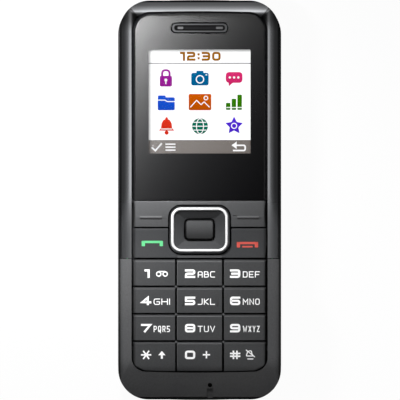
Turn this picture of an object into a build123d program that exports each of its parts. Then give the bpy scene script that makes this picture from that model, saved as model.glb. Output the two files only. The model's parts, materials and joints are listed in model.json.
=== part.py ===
from build123d import *
from math import sqrt
import os

# A feature phone lying on its back: X across, Y up the phone, Z out of its face.
# The origin is the middle of the flat back. Every length is in millimetres.

# Overall
phone_width = 44.0
phone_length = 107.6
parting_z = 9.0                 # where the front frames meet the rear housing
overrun = 20.0                  # how far a cutting block runs past what it cuts

# Upper front frame, glossy
upper_inset = 0.45
frame_corner_radius = 8.2
upper_wall_top_z = 12.5
upper_edge_bevel = 0.5
upper_crown_radius = 6.6
upper_crown_inset = 4.33
upper_crown_top_z = 14.4
split_y = -15.8                 # the line between the two front frames
split_gap = 0.2

# Lower front frame, matte
lower_inset = 0.05
lower_wall_top_z = 12.4
lower_edge_bevel = 0.6
lower_crown_radius = 13.9
lower_crown_inset = 5.0
lower_crown_top_z = 14.0
chin_wall_top_z = 11.8
chin_edge_bevel = 0.7
chin_crown_radius = 62.0
chin_crown_inset = 14.0
mic_hole_radius = 0.6
mic_groove_width = 1.6
mic_groove_depth = 0.25
mic_groove_start = 0.9          # how far below the hole the shallow groove begins

# Inside of both front frames
frame_wall = 1.3
deck_top_z = 13.1               # the shelf that the lens is stuck to
deck_thickness = 0.5
deck_rib_width = 1.5
deck_rib_depth = 1.2
ledge_z = 11.3                  # underside of the bars beside the keypad

# Lens and its printed mask
lens_side_margin = 3.9
lens_end_margin = 3.15
lens_bottom_y = 0.05
lens_arch = 0.3
lens_corner_radius = 5.0
lens_gap = 0.25
lens_top_z = 14.05
lens_bevel_width = 0.8
lens_bevel_depth = 0.4
mask_thickness = 0.08

# Display, where view is the part of it that shows through the mask
view_side_margin = 4.37
view_ear_drop = 5.815           # from the middle of the earpiece slot to the upper edge of the view
view_foot_margin = 12.505
view_corner_radius = 0.3
window_margin = 0.4
panel_side_margin = 1.77
panel_top_margin = 1.2
panel_foot_margin = 6.07
panel_top_z = 12.5
glass_thickness = 0.7
panel_ledge = 3.0               # the strip of the rear glass left bare for the ribbon
backlight_thickness = 1.1
holder_wall = 0.4
holder_gap = 0.1
holder_rim_drop = 0.1
ribbon_width = 14.0
ribbon_thickness = 0.12
ribbon_notch_margin = 0.3
ribbon_bend_radius = 0.7
ribbon_offset = 0.5
ribbon_foot = 3.6
ribbon_bond = 2.0

# Earpiece
ear_drop = 4.25                 # from the upper edge of the lens to the middle of the slot
ear_hole_width = 15.7
ear_hole_height = 3.1
ear_trim_gap = 0.2
ear_trim_drop = 0.1
ear_slot_width = 13.3
ear_slot_height = 1.15
ear_mesh_thickness = 0.3
ear_block_width = 1.6
ear_block_height = 0.9
ear_block_rise = 0.35
ear_block_inset = 0.5
deck_sound_margin = 0.4
receiver_width = 12.0
receiver_length = 5.4
receiver_height = 2.2
receiver_gap = 0.1

# Keypad
keypad_side_margin = 4.0
keypad_end_margin = 7.6
keypad_lens_gap = 0.3
keypad_corner_radius = 3.5
keypad_bow = 0.4                # how far the bottom edge bulges
keypad_gap = 0.35
key_side_bevel_width = 0.75
key_side_bevel_depth = 0.5
key_chin_bevel_width = 1.7
key_chin_bevel_depth = 0.6
key_base_z = 11.6
key_face_z = 13.5
key_top_bevel_width = 0.65
key_top_bevel_depth = 0.5
key_corner_cut = 0.22
middle_key_width = 12.2
column_gap = 0.5
number_rows = 4
number_gap = 0.45               # between the number keys and the keys round the navigation key
last_row_extra = 0.72
row_gap = 0.3
function_length = 15.3
soft_length = 6.95
function_gap = 0.4
soft_crest_rise = 0.24
send_valley_drop = 0.24
bridge_half_width = 6.0         # the strips that pass above and below the navigation key
bridge_gap = 0.06
function_stem_shift = 0.15
dash_margin = 1.8
dash_height = 0.8
dash_rise = 0.2
dash_drop = 4.4
plunger_radius = 1.5
plunger_gap = 0.3
key_travel = 0.25
key_reserve = 0.03              # what is left over a dome when its key is down
post_sides = 8                  # plungers and the holes round them have eight flat sides
half_side_turn = 180 / post_sides
arc_cut_share = 2 - sqrt(2)     # a straight cut this share of the radius touches a quarter arc's middle

# Navigation key and centre key
nav_drop = 7.77                 # from the upper edge of the keypad to the middle of the key
nav_hole_width = 17.0
nav_hole_height = 13.6
nav_hole_radius = 3.5
nav_gap = 0.4
nav_base_z = 10.8
nav_ring_width = 0.8
nav_ring_margin = 0.4
nav_ring_top_z = 14.3
nav_ring_depth = 0.9
nav_ring_edge = 0.25
nav_dish_top_z = 13.9
nav_dish_foot_z = 13.05
ok_hole_width = 8.4
ok_hole_height = 6.1
ok_hole_radius = 1.4
ok_gap = 0.45
ok_base_z = 11.2
ok_face_z = 13.65
ok_edge = 0.25
nav_post_radius = 1.0
nav_post_x = 6.4
nav_post_y = 4.9
gasket_width = 9.6
gasket_height = 7.4
gasket_hole_width = 6.4
gasket_hole_height = 4.6
gasket_radius = 1.2
gasket_bottom_z = 10.2
gasket_top_z = 10.5

# Silicone mat and domes
mat_bottom_z = 9.6
mat_top_z = 10.0
mat_rim_width = 1.0
mat_rim_top_z = 11.1
mat_margin = 1.4                # how far the mat reaches past the keys at the sides
mat_margin_top = 0.5
mat_margin_bottom = 1.0
mat_foot_gap = 0.05
film_thickness = 0.12
film_gap = 0.3
dome_radius = 2.0
dome_crown_radius = 0.8
dome_height = 0.3
dome_foot = 0.05

# Rear housing
housing_inset_end = 0.1
housing_corner_radius = 9.0
back_edge_radius = 3.0
housing_wall = 1.5
crest_top_width = 15.9
crest_bottom_width = 24.3
crest_rise = 0.3
crest_top_step = 0.22
crest_low_z = 4.9
crest_high_z = 8.6
board_ledge_width = 1.6
bay_floor_z = 5.7
bay_floor_thickness = 0.7
back_wall = 1.2
lower_cavity_wall = 1.7          # between the battery and the antenna's space
lower_cavity_side = 3.7
lower_cavity_floor_z = 2.1
cavity_corner_radius = 3.0

# Battery cover
cover_wall = 1.0
cover_gap = 0.15
cover_top_overlap = 2.5          # how far the cover reaches past the battery
cover_lip_z = 4.5
hook_depth = 0.5
hook_height = 0.5
hook_top_z = 4.2
hook_length = 6.0
hook_top_margin = 7.0
hook_foot_margin = 24.7
hook_count = 3
grip_count = 5
grip_width = 11.0
grip_height = 0.8
grip_depth = 0.3
grip_pitch = 1.8
grip_margin = 12.0

# Battery
battery_side_margin = 5.2
battery_top_margin = 36.3
battery_foot_margin = 19.3
battery_thickness = 4.3
battery_bottom_z = 1.3
battery_edge_radius = 1.0
bay_gap = 0.25
terminal_count = 3
terminal_pitch = 3.0
terminal_width = 2.0
terminal_height = 1.6
terminal_thickness = 0.1
terminal_z = 3.4
connector_width = 10.6
connector_length = 3.0
connector_bottom_z = 2.3
connector_gap = 0.2
connector_end_gap = 0.4
contact_width = 0.9
contact_length = 1.1
contact_gap = 0.05
contact_slot_margin = 0.15

# Main board
board_side_gap = 0.8
board_end_gap = 1.2
board_corner_trim = 0.3
board_bottom_z = 7.9
board_thickness = 0.9
boss_clearance = 0.35

# Screws and their bosses
screw_side_margin = 2.75
screw_cover_drop = 6.0
screw_foot_margin = 13.8
screw_radius = 0.7
screw_head_radius = 1.3
screw_head_height = 0.9
screw_head_sides = 12
screw_seat_z = 3.6
screw_tip_z = 10.8
screw_gap = 0.1
screw_socket_radius = 0.5
screw_socket_depth = 0.5
boss_radius = 1.15
boss_foot_z = 8.0

# Shield cans under the board
can_wall = 0.2
can_height = 1.3
can_side_margin = 2.7
can_connector_gap = 1.3
can_upper_width = 22.0
can_upper_length = 14.0
can_lower_side = 3.9
can_lower_foot = 2.5
can_card_gap = 7.5

# Card holder and card, under the battery
card_width = 25.0
card_length = 15.0
card_thickness = 0.76
card_notch = 3.0
card_bottom_z = 5.95
card_centre_y = -3.0
holder_rail_width = 0.8
holder_rail_gap = 0.15
holder_lip = 0.9
holder_lip_thickness = 0.15
holder_lip_gap = 0.05
card_window_margin = 0.5

# Side socket and its cover
port_end_margin = 18.6
port_length = 11.9
port_bottom_z = 4.8
port_top_z = 8.3
port_thickness = 1.0
port_inset = 0.05
port_gap = 0.15
socket_length = 10.0
socket_depth = 6.0
socket_height = 2.9
socket_wall = 0.6
socket_tongue = 0.35
socket_tongue_depth = 4.0
socket_set_back = 0.1
plug_depth = 0.9
plug_gap = 0.35

# Loudspeaker at the back
speaker_end_margin = 11.3
speaker_side_margin = 2.4
speaker_motor_gap = 6.2
speaker_length = 11.0
speaker_height = 3.0
speaker_corner_radius = 2.5
speaker_lift = 0.4
speaker_gasket_width = 1.2
speaker_gasket_gap = 0.05
slot_margin = 2.25
slot_width = 1.0
slot_length = 7.0
slot_pitch = 2.1
slot_corner_share = 0.29        # of the smaller side of a slot

# Vibration motor
motor_radius = 2.0
motor_side_margin = 2.9
motor_length = 8.0
motor_end_margin = 8.3
motor_lift = 0.5
shaft_radius = 0.4
shaft_gap = 0.05
shaft_sink = 1.5
weight_length = 3.0
weight_radius = 2.1
weight_gap = 0.3
cradle_width = 1.0
cradle_margin = 1.0
cradle_gap = 0.05
cradle_inset = 1.2

# Microphone
mic_x = 2.8
mic_end_margin = 3.9
mic_radius = 1.3
mic_height = 1.4
boot_wall = 0.45
boot_gap = 0.05

# Antenna
carrier_side_gap = 0.7
carrier_end_gap = 0.3
carrier_bottom_z = 2.5
carrier_wall = 0.9
carrier_corner_radius = 2.0
element_thickness = 0.2
element_track = 1.6
element_turns = 4
element_margin = 1.5

frame_inner_width = phone_width - 2 * (upper_inset + frame_wall)
frame_inner_length = phone_length - 2 * frame_wall
top_end_y = phone_length / 2
housing_length = phone_length - 2 * housing_inset_end
housing_inner_width = phone_width - 2 * housing_wall
housing_inner_length = housing_length - 2 * housing_wall
ledge_inner_width = housing_inner_width - 2 * board_ledge_width
ledge_inner_length = housing_inner_length - 2 * board_ledge_width

lens_width = phone_width - 2 * lens_side_margin
lens_top_y = top_end_y - lens_end_margin
ear_centre_y = lens_top_y - ear_drop
view_width = lens_width - 2 * view_side_margin
view_top_y = ear_centre_y - view_ear_drop
view_bottom_y = lens_bottom_y + view_foot_margin
view_height = view_top_y - view_bottom_y
view_centre_y = (view_top_y + view_bottom_y) / 2
panel_width = view_width + 2 * panel_side_margin
panel_top_y = view_top_y + panel_top_margin
panel_bottom_y = view_bottom_y - panel_foot_margin
panel_bottom_z = panel_top_z - 2 * glass_thickness
backlight_bottom_z = panel_bottom_z - backlight_thickness

keypad_width = phone_width - 2 * keypad_side_margin
keypad_top_y = lens_bottom_y - keypad_lens_gap
keypad_bottom_y = keypad_end_margin - top_end_y
soft_bottom_y = keypad_top_y - soft_length
function_bottom_y = keypad_top_y - function_length
function_stem_x = (keypad_width + nav_hole_width) / 4 - function_stem_shift
dash_width = (keypad_width - nav_hole_width) / 2 - 2 * dash_margin
dash_centre_y = keypad_top_y - dash_drop
numbers_top_y = function_bottom_y - number_gap
row_pitch = (numbers_top_y - keypad_bottom_y - last_row_extra) / number_rows
column_centre_x = (middle_key_width + keypad_width) / 4 + column_gap / 2
outer_key_width = (keypad_width - middle_key_width) / 2 - column_gap
nav_centre_y = keypad_top_y - nav_drop

board_top_z = board_bottom_z + board_thickness
board_width = housing_inner_width - 2 * board_side_gap
board_length = housing_inner_length - 2 * board_end_gap
board_corner_radius = housing_corner_radius - housing_wall - board_corner_trim
dome_top_z = board_top_z + dome_height
plunger_foot_z = dome_top_z + film_thickness + key_travel + key_reserve

battery_width = phone_width - 2 * battery_side_margin
battery_top_y = top_end_y - battery_top_margin
battery_bottom_y = battery_foot_margin - top_end_y
cover_top_y = battery_top_y + cover_top_overlap
hook_last_y = cover_top_y - hook_top_margin
hook_first_y = hook_foot_margin - housing_length / 2
connector_low_y = battery_top_y + terminal_thickness + contact_gap + contact_length / 2
connector_high_y = connector_low_y + connector_length
upper_cavity_bottom_y = connector_high_y + connector_end_gap
lower_cavity_width = ledge_inner_width - 2 * lower_cavity_side
lower_cavity_top_y = battery_bottom_y - lower_cavity_wall
lower_cavity_bottom_y = -ledge_inner_length / 2
lower_cavity_centre_y = (lower_cavity_top_y + lower_cavity_bottom_y) / 2
carrier_width = lower_cavity_width - 2 * carrier_side_gap
carrier_length = lower_cavity_top_y - lower_cavity_bottom_y - 2 * carrier_end_gap
port_top_y = top_end_y - port_end_margin
port_bottom_y = port_top_y - port_length
motor_left_x = motor_side_margin - ledge_inner_width / 2
motor_right_x = motor_left_x + motor_length
motor_y = top_end_y - motor_end_margin
motor_z = back_wall + motor_lift + motor_radius
speaker_left_x = motor_right_x + weight_gap + weight_length + speaker_motor_gap
speaker_right_x = ledge_inner_width / 2 - speaker_side_margin
speaker_width = speaker_right_x - speaker_left_x
speaker_x = (speaker_left_x + speaker_right_x) / 2
speaker_y = top_end_y - speaker_end_margin
slot_count = round((speaker_width - 2 * slot_margin) / slot_pitch)
mic_y = mic_end_margin - top_end_y
screw_x = phone_width / 2 - screw_side_margin
screw_upper_y = cover_top_y - screw_cover_drop
screw_lower_y = screw_foot_margin - top_end_y
screw_spots = [(side * screw_x, y) for y in (screw_upper_y, screw_lower_y) for side in (-1, 1)]
number_names = ["key_1", "key_2", "key_3", "key_4", "key_5", "key_6",
                "key_7", "key_8", "key_9", "key_star", "key_0", "key_hash"]


def block(low_x, high_x, low_y, high_y, low_z, high_z):
    # A box given by its limits.
    middle = Pos((low_x + high_x) / 2, (low_y + high_y) / 2, (low_z + high_z) / 2)
    return middle * Box(high_x - low_x, high_y - low_y, high_z - low_z)


def slab(width, length, radius, low_z, high_z, x=0, y=0):
    # A rounded rectangle raised from one height to another.
    return extrude(Pos(x, y, low_z) * RectangleRounded(width, length, radius), amount=high_z - low_z)


def cut_slab(width, length, radius, low_z, high_z, x=0, y=0):
    # The same for hidden or tiny corners: they are cut straight, along the middle of the arc.
    outline = chamfer(Rectangle(width, length).vertices(), radius * arc_cut_share)
    return extrude(Pos(x, y, low_z) * outline, amount=high_z - low_z)


def post(radius, low_z, high_z, x=0, y=0):
    # A round post standing along Z.
    return extrude(Pos(x, y, low_z) * Circle(radius), amount=high_z - low_z)


def octagon(radius):
    # Eight sides with flats along both axes, at least as wide as a circle of this radius.
    return RegularPolygon(radius, post_sides, major_radius=False, rotation=half_side_turn)


def prism(radius, low_z, high_z, x=0, y=0):
    # An eight-sided post standing along Z.
    return extrude(Pos(x, y, low_z) * octagon(radius), amount=high_z - low_z)


def group(pieces):
    return Compound(children=list(pieces))


def arc_drop(distance, radius):
    # How far a circle has fallen at a distance from its highest point.
    return radius - sqrt(radius ** 2 - distance ** 2)


def crowned_section(half_span, wall_top, bevel, crown_inset, crown_top, crown_radius):
    # A section that rises from its outer wall over a small bevel and a crown to a flat middle.
    shoulder = half_span - bevel
    apex = half_span - crown_inset
    shoulder_z = crown_top - arc_drop(shoulder - apex, crown_radius)
    middle = (shoulder + apex) / 2
    middle_z = crown_top - arc_drop(middle - apex, crown_radius)
    side = Polyline((0, parting_z), (half_span, parting_z), (half_span, wall_top), (shoulder, shoulder_z))
    side += ThreePointArc((shoulder, shoulder_z), (middle, middle_z), (apex, crown_top))
    side += Line((apex, crown_top), (0, crown_top))
    return make_face(side + mirror(side, about=Plane.YZ))


def crowned_form(width, cross_section, length_section):
    # The outline of the front, cut by a section across it and a section along it.
    outline = slab(width, phone_length, frame_corner_radius, parting_z, parting_z + overrun)
    across = extrude(Plane.XZ * cross_section, amount=phone_length, both=True)
    along = extrude(Plane.YZ * length_section, amount=phone_width, both=True)
    return outline & across & along


def lens_outline():
    half = lens_width / 2
    shoulder_y = lens_top_y - lens_arch
    edge = Polyline((-half, shoulder_y), (-half, lens_bottom_y), (half, lens_bottom_y), (half, shoulder_y))
    edge += ThreePointArc((half, shoulder_y), (0, lens_top_y), (-half, shoulder_y))
    face = make_face(edge)
    return fillet(face.vertices().sort_by(Axis.Y)[-2:], lens_corner_radius)


def keypad_outline(margin=0):
    # The area of all the keys, with rounded lower corners and a bowed bottom edge.
    half = keypad_width / 2 + margin
    top = keypad_top_y + margin
    corner_y = keypad_bottom_y + keypad_bow - margin
    edge = Polyline((-half, corner_y), (-half, top), (half, top), (half, corner_y))
    edge += ThreePointArc((half, corner_y), (0, keypad_bottom_y - margin), (-half, corner_y))
    face = make_face(edge)
    return fillet(face.vertices().sort_by(Axis.Y)[:2], keypad_corner_radius + margin)


def stadium(width, height, low_z, high_z, y):
    return extrude(Pos(0, y, low_z) * SlotOverall(width, height), amount=high_z - low_z)


def boss(x, y, top_z):
    # A screw boss that hangs from a front frame down to the housing.
    outer = prism(boss_radius, boss_foot_z, top_z, x, y)
    return outer - prism(screw_radius + screw_gap / 2, boss_foot_z, screw_tip_z + screw_gap, x, y)


def front_frame_upper():
    section = crowned_section(phone_width / 2 - upper_inset, upper_wall_top_z, upper_edge_bevel,
                              upper_crown_inset, upper_crown_top_z, upper_crown_radius)
    end = crowned_section(phone_length / 2, upper_wall_top_z, upper_edge_bevel,
                          upper_crown_inset, upper_crown_top_z, upper_crown_radius)
    frame = crowned_form(phone_width - 2 * upper_inset, section, end)
    frame -= block(-overrun * 2, overrun * 2, -phone_length, split_y + split_gap / 2, 0, overrun)
    deck_bottom_z = deck_top_z - deck_thickness
    corner = frame_corner_radius - frame_wall
    cavity = cut_slab(frame_inner_width, frame_inner_length, corner, 0, deck_bottom_z)
    cavity -= block(-overrun * 2, overrun * 2, -phone_length, 0, ledge_z, overrun)
    cavity -= block(-overrun * 2, overrun * 2, 0, deck_rib_width, deck_bottom_z - deck_rib_depth, overrun)
    frame -= cavity
    frame -= extrude(Pos(0, 0, deck_top_z) * offset(lens_outline(), amount=lens_gap), amount=overrun)
    frame -= extrude(keypad_outline(keypad_gap), amount=overrun)
    frame -= block(-view_width / 2 - window_margin, view_width / 2 + window_margin,
                   view_bottom_y - window_margin, view_top_y + window_margin, 0, overrun)
    frame -= stadium(ear_slot_width - deck_sound_margin, ear_slot_height + deck_sound_margin,
                     0, overrun, ear_centre_y)
    for x, y in screw_spots[:2]:
        frame += boss(x, y, deck_bottom_z)
    return frame


def mic_groove():
    # A shallow groove that follows the chin from the microphone hole to the lower end.
    apex_y = chin_crown_inset - top_end_y
    high_y = mic_y - mic_groove_start
    outline = [(high_y, overrun), (-top_end_y, overrun)]
    for y in (-top_end_y, high_y):
        outline.append((y, lower_crown_top_z - arc_drop(apex_y - y, chin_crown_radius) - mic_groove_depth))
    groove = extrude(Plane.YZ * make_face(Polyline(*outline, close=True)), amount=mic_groove_width / 2, both=True)
    return Pos(mic_x, 0, 0) * groove


def front_frame_lower():
    section = crowned_section(phone_width / 2 - lower_inset, lower_wall_top_z, lower_edge_bevel,
                              lower_crown_inset, lower_crown_top_z, lower_crown_radius)
    end = crowned_section(phone_length / 2, chin_wall_top_z, chin_edge_bevel,
                          chin_crown_inset, lower_crown_top_z, chin_crown_radius)
    frame = crowned_form(phone_width - 2 * lower_inset, section, end)
    frame -= block(-overrun * 2, overrun * 2, split_y - split_gap / 2, phone_length, 0, overrun)
    frame -= cut_slab(frame_inner_width, frame_inner_length, frame_corner_radius - frame_wall, 0, ledge_z)
    frame -= extrude(keypad_outline(keypad_gap), amount=overrun)
    frame -= post(mic_hole_radius, 0, overrun, mic_x, mic_y) + mic_groove()
    for x, y in screw_spots[2:]:
        frame += boss(x, y, ledge_z)
    return frame


def display_lens():
    foot_z = deck_top_z + mask_thickness
    lens = extrude(Pos(0, 0, foot_z) * lens_outline(), amount=lens_top_z - foot_z)
    top = lens.faces().sort_by(Axis.Z)[-1]
    sides = top.edges().filter_by(lambda edge: edge.center().Y > lens_bottom_y + lens_bevel_width)
    lens = chamfer(sides, lens_bevel_width, lens_bevel_depth, reference=top)
    return lens - stadium(ear_hole_width, ear_hole_height, 0, overrun, ear_centre_y)


def lens_mask():
    mask = extrude(Pos(0, 0, deck_top_z) * lens_outline(), amount=mask_thickness)
    mask -= cut_slab(view_width, view_height, view_corner_radius, 0, overrun, 0, view_centre_y)
    return mask - stadium(ear_hole_width, ear_hole_height, 0, overrun, ear_centre_y)


def earpiece_trim():
    foot_z = deck_top_z + ear_mesh_thickness
    trim = stadium(ear_hole_width - 2 * ear_trim_gap, ear_hole_height - 2 * ear_trim_gap,
                   foot_z, lens_top_z - ear_trim_drop, ear_centre_y)
    return trim - stadium(ear_slot_width, ear_slot_height, 0, overrun, ear_centre_y)


def earpiece_mesh():
    top_z = deck_top_z + ear_mesh_thickness
    mesh = stadium(ear_hole_width - 2 * ear_trim_gap, ear_hole_height - 2 * ear_trim_gap,
                   deck_top_z, top_z, ear_centre_y)
    block_x = (ear_slot_width - ear_block_width) / 2 - ear_block_inset
    for side in (-1, 1):
        mesh += block(side * block_x - ear_block_width / 2, side * block_x + ear_block_width / 2,
                      ear_centre_y - ear_block_height / 2, ear_centre_y + ear_block_height / 2,
                      top_z, top_z + ear_block_rise)
    return mesh


def earpiece_speaker():
    top_z = deck_top_z - deck_thickness - receiver_gap
    return block(-receiver_width / 2, receiver_width / 2, ear_centre_y - receiver_length / 2,
                 ear_centre_y + receiver_length / 2, top_z - receiver_height, top_z)


def panel_block(grow, low_z, high_z):
    return block(-panel_width / 2 - grow, panel_width / 2 + grow,
                 panel_bottom_y - grow, panel_top_y + grow, low_z, high_z)


def lcd_panel():
    # Two sheets of glass, the front one shorter so that the ribbon can be bonded to the rear one.
    ledge = block(-panel_width, panel_width, panel_bottom_y - panel_ledge, panel_bottom_y + panel_ledge,
                  panel_bottom_z + glass_thickness, panel_top_z)
    return panel_block(0, panel_bottom_z, panel_top_z) - ledge


def backlight():
    return panel_block(0, backlight_bottom_z, panel_bottom_z)


def lcd_holder():
    holder = panel_block(holder_gap + holder_wall, board_top_z, panel_top_z - holder_rim_drop)
    holder -= panel_block(holder_gap, backlight_bottom_z, overrun)
    notch = ribbon_width / 2 + ribbon_notch_margin
    return holder - block(-notch, notch, panel_bottom_y - overrun / 2, panel_bottom_y + holder_gap,
                          backlight_bottom_z, overrun)


def lcd_ribbon():
    # The flexible tail, bonded to the glass ledge and folded down to the board.
    bond_z = panel_bottom_z + glass_thickness + ribbon_thickness / 2
    foot_z = board_top_z + ribbon_thickness / 2
    fold_y = panel_bottom_y - holder_gap - holder_wall - ribbon_offset
    path = FilletPolyline((panel_bottom_y + ribbon_bond, bond_z), (fold_y, bond_z),
                          (fold_y, foot_z), (fold_y - ribbon_foot, foot_z), radius=ribbon_bend_radius)
    strip = trace(path, ribbon_thickness)
    return extrude(Plane.YZ * strip, amount=ribbon_width / 2, both=True)


def row_top(row):
    return numbers_top_y - row * row_pitch


def key_cell(low_x, high_x, low_y, high_y, face_z, top_bevel=True):
    # The space of one key, with its upper edge cut back to a bevel.
    outline = [(low_y, 0), (high_y, 0)]
    if top_bevel:
        outline += [(high_y, face_z - key_top_bevel_depth),
                    (high_y - 2 * key_top_bevel_width, face_z + key_top_bevel_depth)]
    else:
        outline += [(high_y, face_z + key_top_bevel_depth)]
    outline += [(low_y, face_z + key_top_bevel_depth)]
    cell = extrude(Plane.YZ * make_face(Polyline(*outline, close=True)), amount=high_x - low_x)
    return Pos(low_x, 0, 0) * cell


def key_form():
    # The whole key set as one body: bevelled sides, a waved upper part and a sloping lower end.
    half = keypad_width / 2
    side_x = half - key_side_bevel_width
    high_z = key_face_z + soft_crest_rise
    side = Polyline((0, key_base_z), (half, key_base_z), (half, high_z - key_side_bevel_depth),
                    (side_x, high_z), (0, high_z))
    across = extrude(Plane.XZ * make_face(side + mirror(side, about=Plane.YZ)),
                     amount=phone_length, both=True)
    wave_y = soft_bottom_y - function_gap / 2
    chin_y = keypad_bottom_y + key_chin_bevel_width
    wave_z = key_face_z - key_top_bevel_depth / 4
    top = Polyline((function_bottom_y, key_face_z), (chin_y, key_face_z),
                   (keypad_bottom_y - keypad_bow, key_face_z - key_chin_bevel_depth),
                   (keypad_bottom_y - keypad_bow, key_base_z), (keypad_top_y, key_base_z),
                   (keypad_top_y, wave_z))
    top += ThreePointArc((keypad_top_y, wave_z),
                         ((keypad_top_y + wave_y) / 2, wave_z + soft_crest_rise), (wave_y, wave_z))
    top += ThreePointArc((wave_y, wave_z),
                         ((wave_y + function_bottom_y) / 2, key_face_z - send_valley_drop),
                         (function_bottom_y, key_face_z))
    along = extrude(Plane.YZ * make_face(top), amount=phone_width, both=True)
    plan = extrude(Pos(0, 0, key_base_z) * keypad_outline(), amount=overrun)
    return plan & across & along


def plunger(x, y):
    return prism(plunger_radius, plunger_foot_z, key_base_z, x, y)


def number_places():
    # Name, column centre, key width, lower and upper edge of each number key.
    places = []
    for index, name in enumerate(number_names):
        row, column = divmod(index, 3)
        width = middle_key_width if column == 1 else outer_key_width
        high_y = row_top(row)
        low_y = high_y - row_pitch + row_gap
        if row == number_rows - 1:
            low_y = keypad_bottom_y - keypad_bow
        places.append((name, (column - 1) * column_centre_x, width, low_y, high_y))
    return places


def number_stem_y(high_y):
    return high_y - (row_pitch - row_gap) / 2


def number_keys(form):
    keys = {}
    for name, x, width, low_y, high_y in number_places():
        key = form & key_cell(x - width / 2, x + width / 2, low_y, high_y, key_face_z)
        upright = key.edges().filter_by(Axis.Z).sort_by(Axis.Y)
        key = chamfer(upright[-2:], key_corner_cut)
        keys[name] = key + plunger(x, number_stem_y(high_y))
    return keys


def function_places():
    # Name, side, lower edge, upper edge and stem height of the four keys round the navigation key.
    send_top_y = soft_bottom_y - function_gap
    soft_y = (keypad_top_y + soft_bottom_y) / 2
    send_y = (send_top_y + function_bottom_y) / 2
    return [("softkey_left", -1, soft_bottom_y, keypad_top_y, soft_y),
            ("softkey_right", 1, soft_bottom_y, keypad_top_y, soft_y),
            ("send_key", -1, function_bottom_y, send_top_y, send_y),
            ("end_key", 1, function_bottom_y, send_top_y, send_y)]


def nav_hole():
    return slab(nav_hole_width, nav_hole_height, nav_hole_radius, 0, overrun, 0, nav_centre_y)


def function_keys(form):
    keys = {}
    inner_x = bridge_half_width + bridge_gap
    hole = nav_hole()
    for name, side, low_y, high_y, stem_y in function_places():
        reach = sorted((side * inner_x, side * keypad_width))
        key = form & key_cell(reach[0], reach[1], low_y, high_y, key_face_z, high_y < keypad_top_y)
        key -= hole
        if high_y == keypad_top_y:
            dash = SlotOverall(dash_width, dash_height)
            dash = Pos(side * function_stem_x, dash_centre_y, key_base_z) * dash
            key += extrude(dash, amount=key_face_z + dash_rise / 2 + soft_crest_rise / 2 - key_base_z)
        keys[name] = key + plunger(side * function_stem_x, stem_y)
    return keys


def key_bridges(form):
    # The two fixed strips of the key sheet, above and below the navigation key.
    middle = form & block(-bridge_half_width, bridge_half_width, function_bottom_y, overrun, 0, overrun)
    strips = middle - nav_hole()
    return [extrude(face, amount=key_base_z - mat_top_z) + solid
            for solid in strips.solids() for face in [solid.faces().sort_by(Axis.Z)[0]]]


def nav_posts():
    return [(nav_post_x, 0), (-nav_post_x, 0), (0, nav_post_y), (0, -nav_post_y)]


def stem_places():
    # Every place where a plunger presses a dome, with the radius of that plunger.
    places = [(x, number_stem_y(high_y), plunger_radius) for _, x, _, _, high_y in number_places()]
    places += [(side * function_stem_x, stem_y, plunger_radius) for _, side, _, _, stem_y in function_places()]
    places += [(x, nav_centre_y + y, nav_post_radius) for x, y in nav_posts()]
    places.append((0, nav_centre_y, plunger_radius))
    return places


def mat_outline(inset=0):
    half = keypad_width / 2 + mat_margin - inset
    top = keypad_top_y + mat_margin_top - inset
    bottom = keypad_bottom_y - keypad_bow - mat_margin_bottom + inset
    sheet = Pos(0, (top + bottom) / 2) * Rectangle(2 * half, top - bottom)
    return chamfer(sheet.vertices().sort_by(Axis.Y)[:2], keypad_corner_radius * arc_cut_share)


def boss_gap(x, y):
    return prism(boss_radius + boss_clearance, 0, overrun, x, y)


def keypad_mat(form):
    foot_z = board_top_z + mat_foot_gap
    rim = extrude(Pos(0, 0, foot_z) * mat_outline(), amount=mat_rim_top_z - foot_z)
    rim -= extrude(mat_outline(mat_rim_width), amount=overrun)
    mat = rim + extrude(Pos(0, 0, mat_bottom_z) * mat_outline(), amount=mat_top_z - mat_bottom_z)
    for x, y, radius in stem_places():
        mat -= prism(radius + plunger_gap, 0, mat_top_z, x, y)
    for x, y in screw_spots[2:]:
        mat -= boss_gap(x, y)
    for bridge in key_bridges(form):
        mat += bridge
    return mat


def dome_film():
    # A clear sheet on the crowns of the domes, inside the rim of the mat.
    film = extrude(Pos(0, 0, dome_top_z) * mat_outline(mat_rim_width + film_gap), amount=film_thickness)
    for x, y in screw_spots[2:]:
        film -= boss_gap(x, y)
    return film


def key_domes():
    # Snap domes on the board, one under each plunger.
    dome = prism(dome_radius, 0, dome_height)
    top = dome.faces().sort_by(Axis.Z)[-1]
    dome = chamfer(top.edges(), dome_radius - dome_crown_radius, dome_height - dome_foot, reference=top)
    return group(Pos(x, y, board_top_z) * dome for x, y, _ in stem_places())


def nav_gasket():
    ring = cut_slab(gasket_width, gasket_height, gasket_radius, gasket_bottom_z, gasket_top_z, 0, nav_centre_y)
    return ring - block(-gasket_hole_width / 2, gasket_hole_width / 2, nav_centre_y - gasket_hole_height / 2,
                        nav_centre_y + gasket_hole_height / 2, 0, overrun)


def nav_ring_outline(grow):
    width = nav_hole_width - 2 * (nav_gap + nav_ring_margin) + 2 * grow
    height = nav_hole_height - 2 * (nav_gap + nav_ring_margin) + 2 * grow
    radius = nav_hole_radius - nav_gap - nav_ring_margin + grow
    return Pos(0, nav_centre_y) * RectangleRounded(width, height, radius)


def nav_ring():
    foot_z = nav_ring_top_z - nav_ring_depth
    ring = extrude(Pos(0, 0, foot_z) * nav_ring_outline(0), amount=nav_ring_depth)
    ring -= extrude(nav_ring_outline(-nav_ring_width), amount=overrun)
    top = ring.faces().sort_by(Axis.Z)[-1]
    return chamfer(top.edges(), nav_ring_edge)


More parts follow.
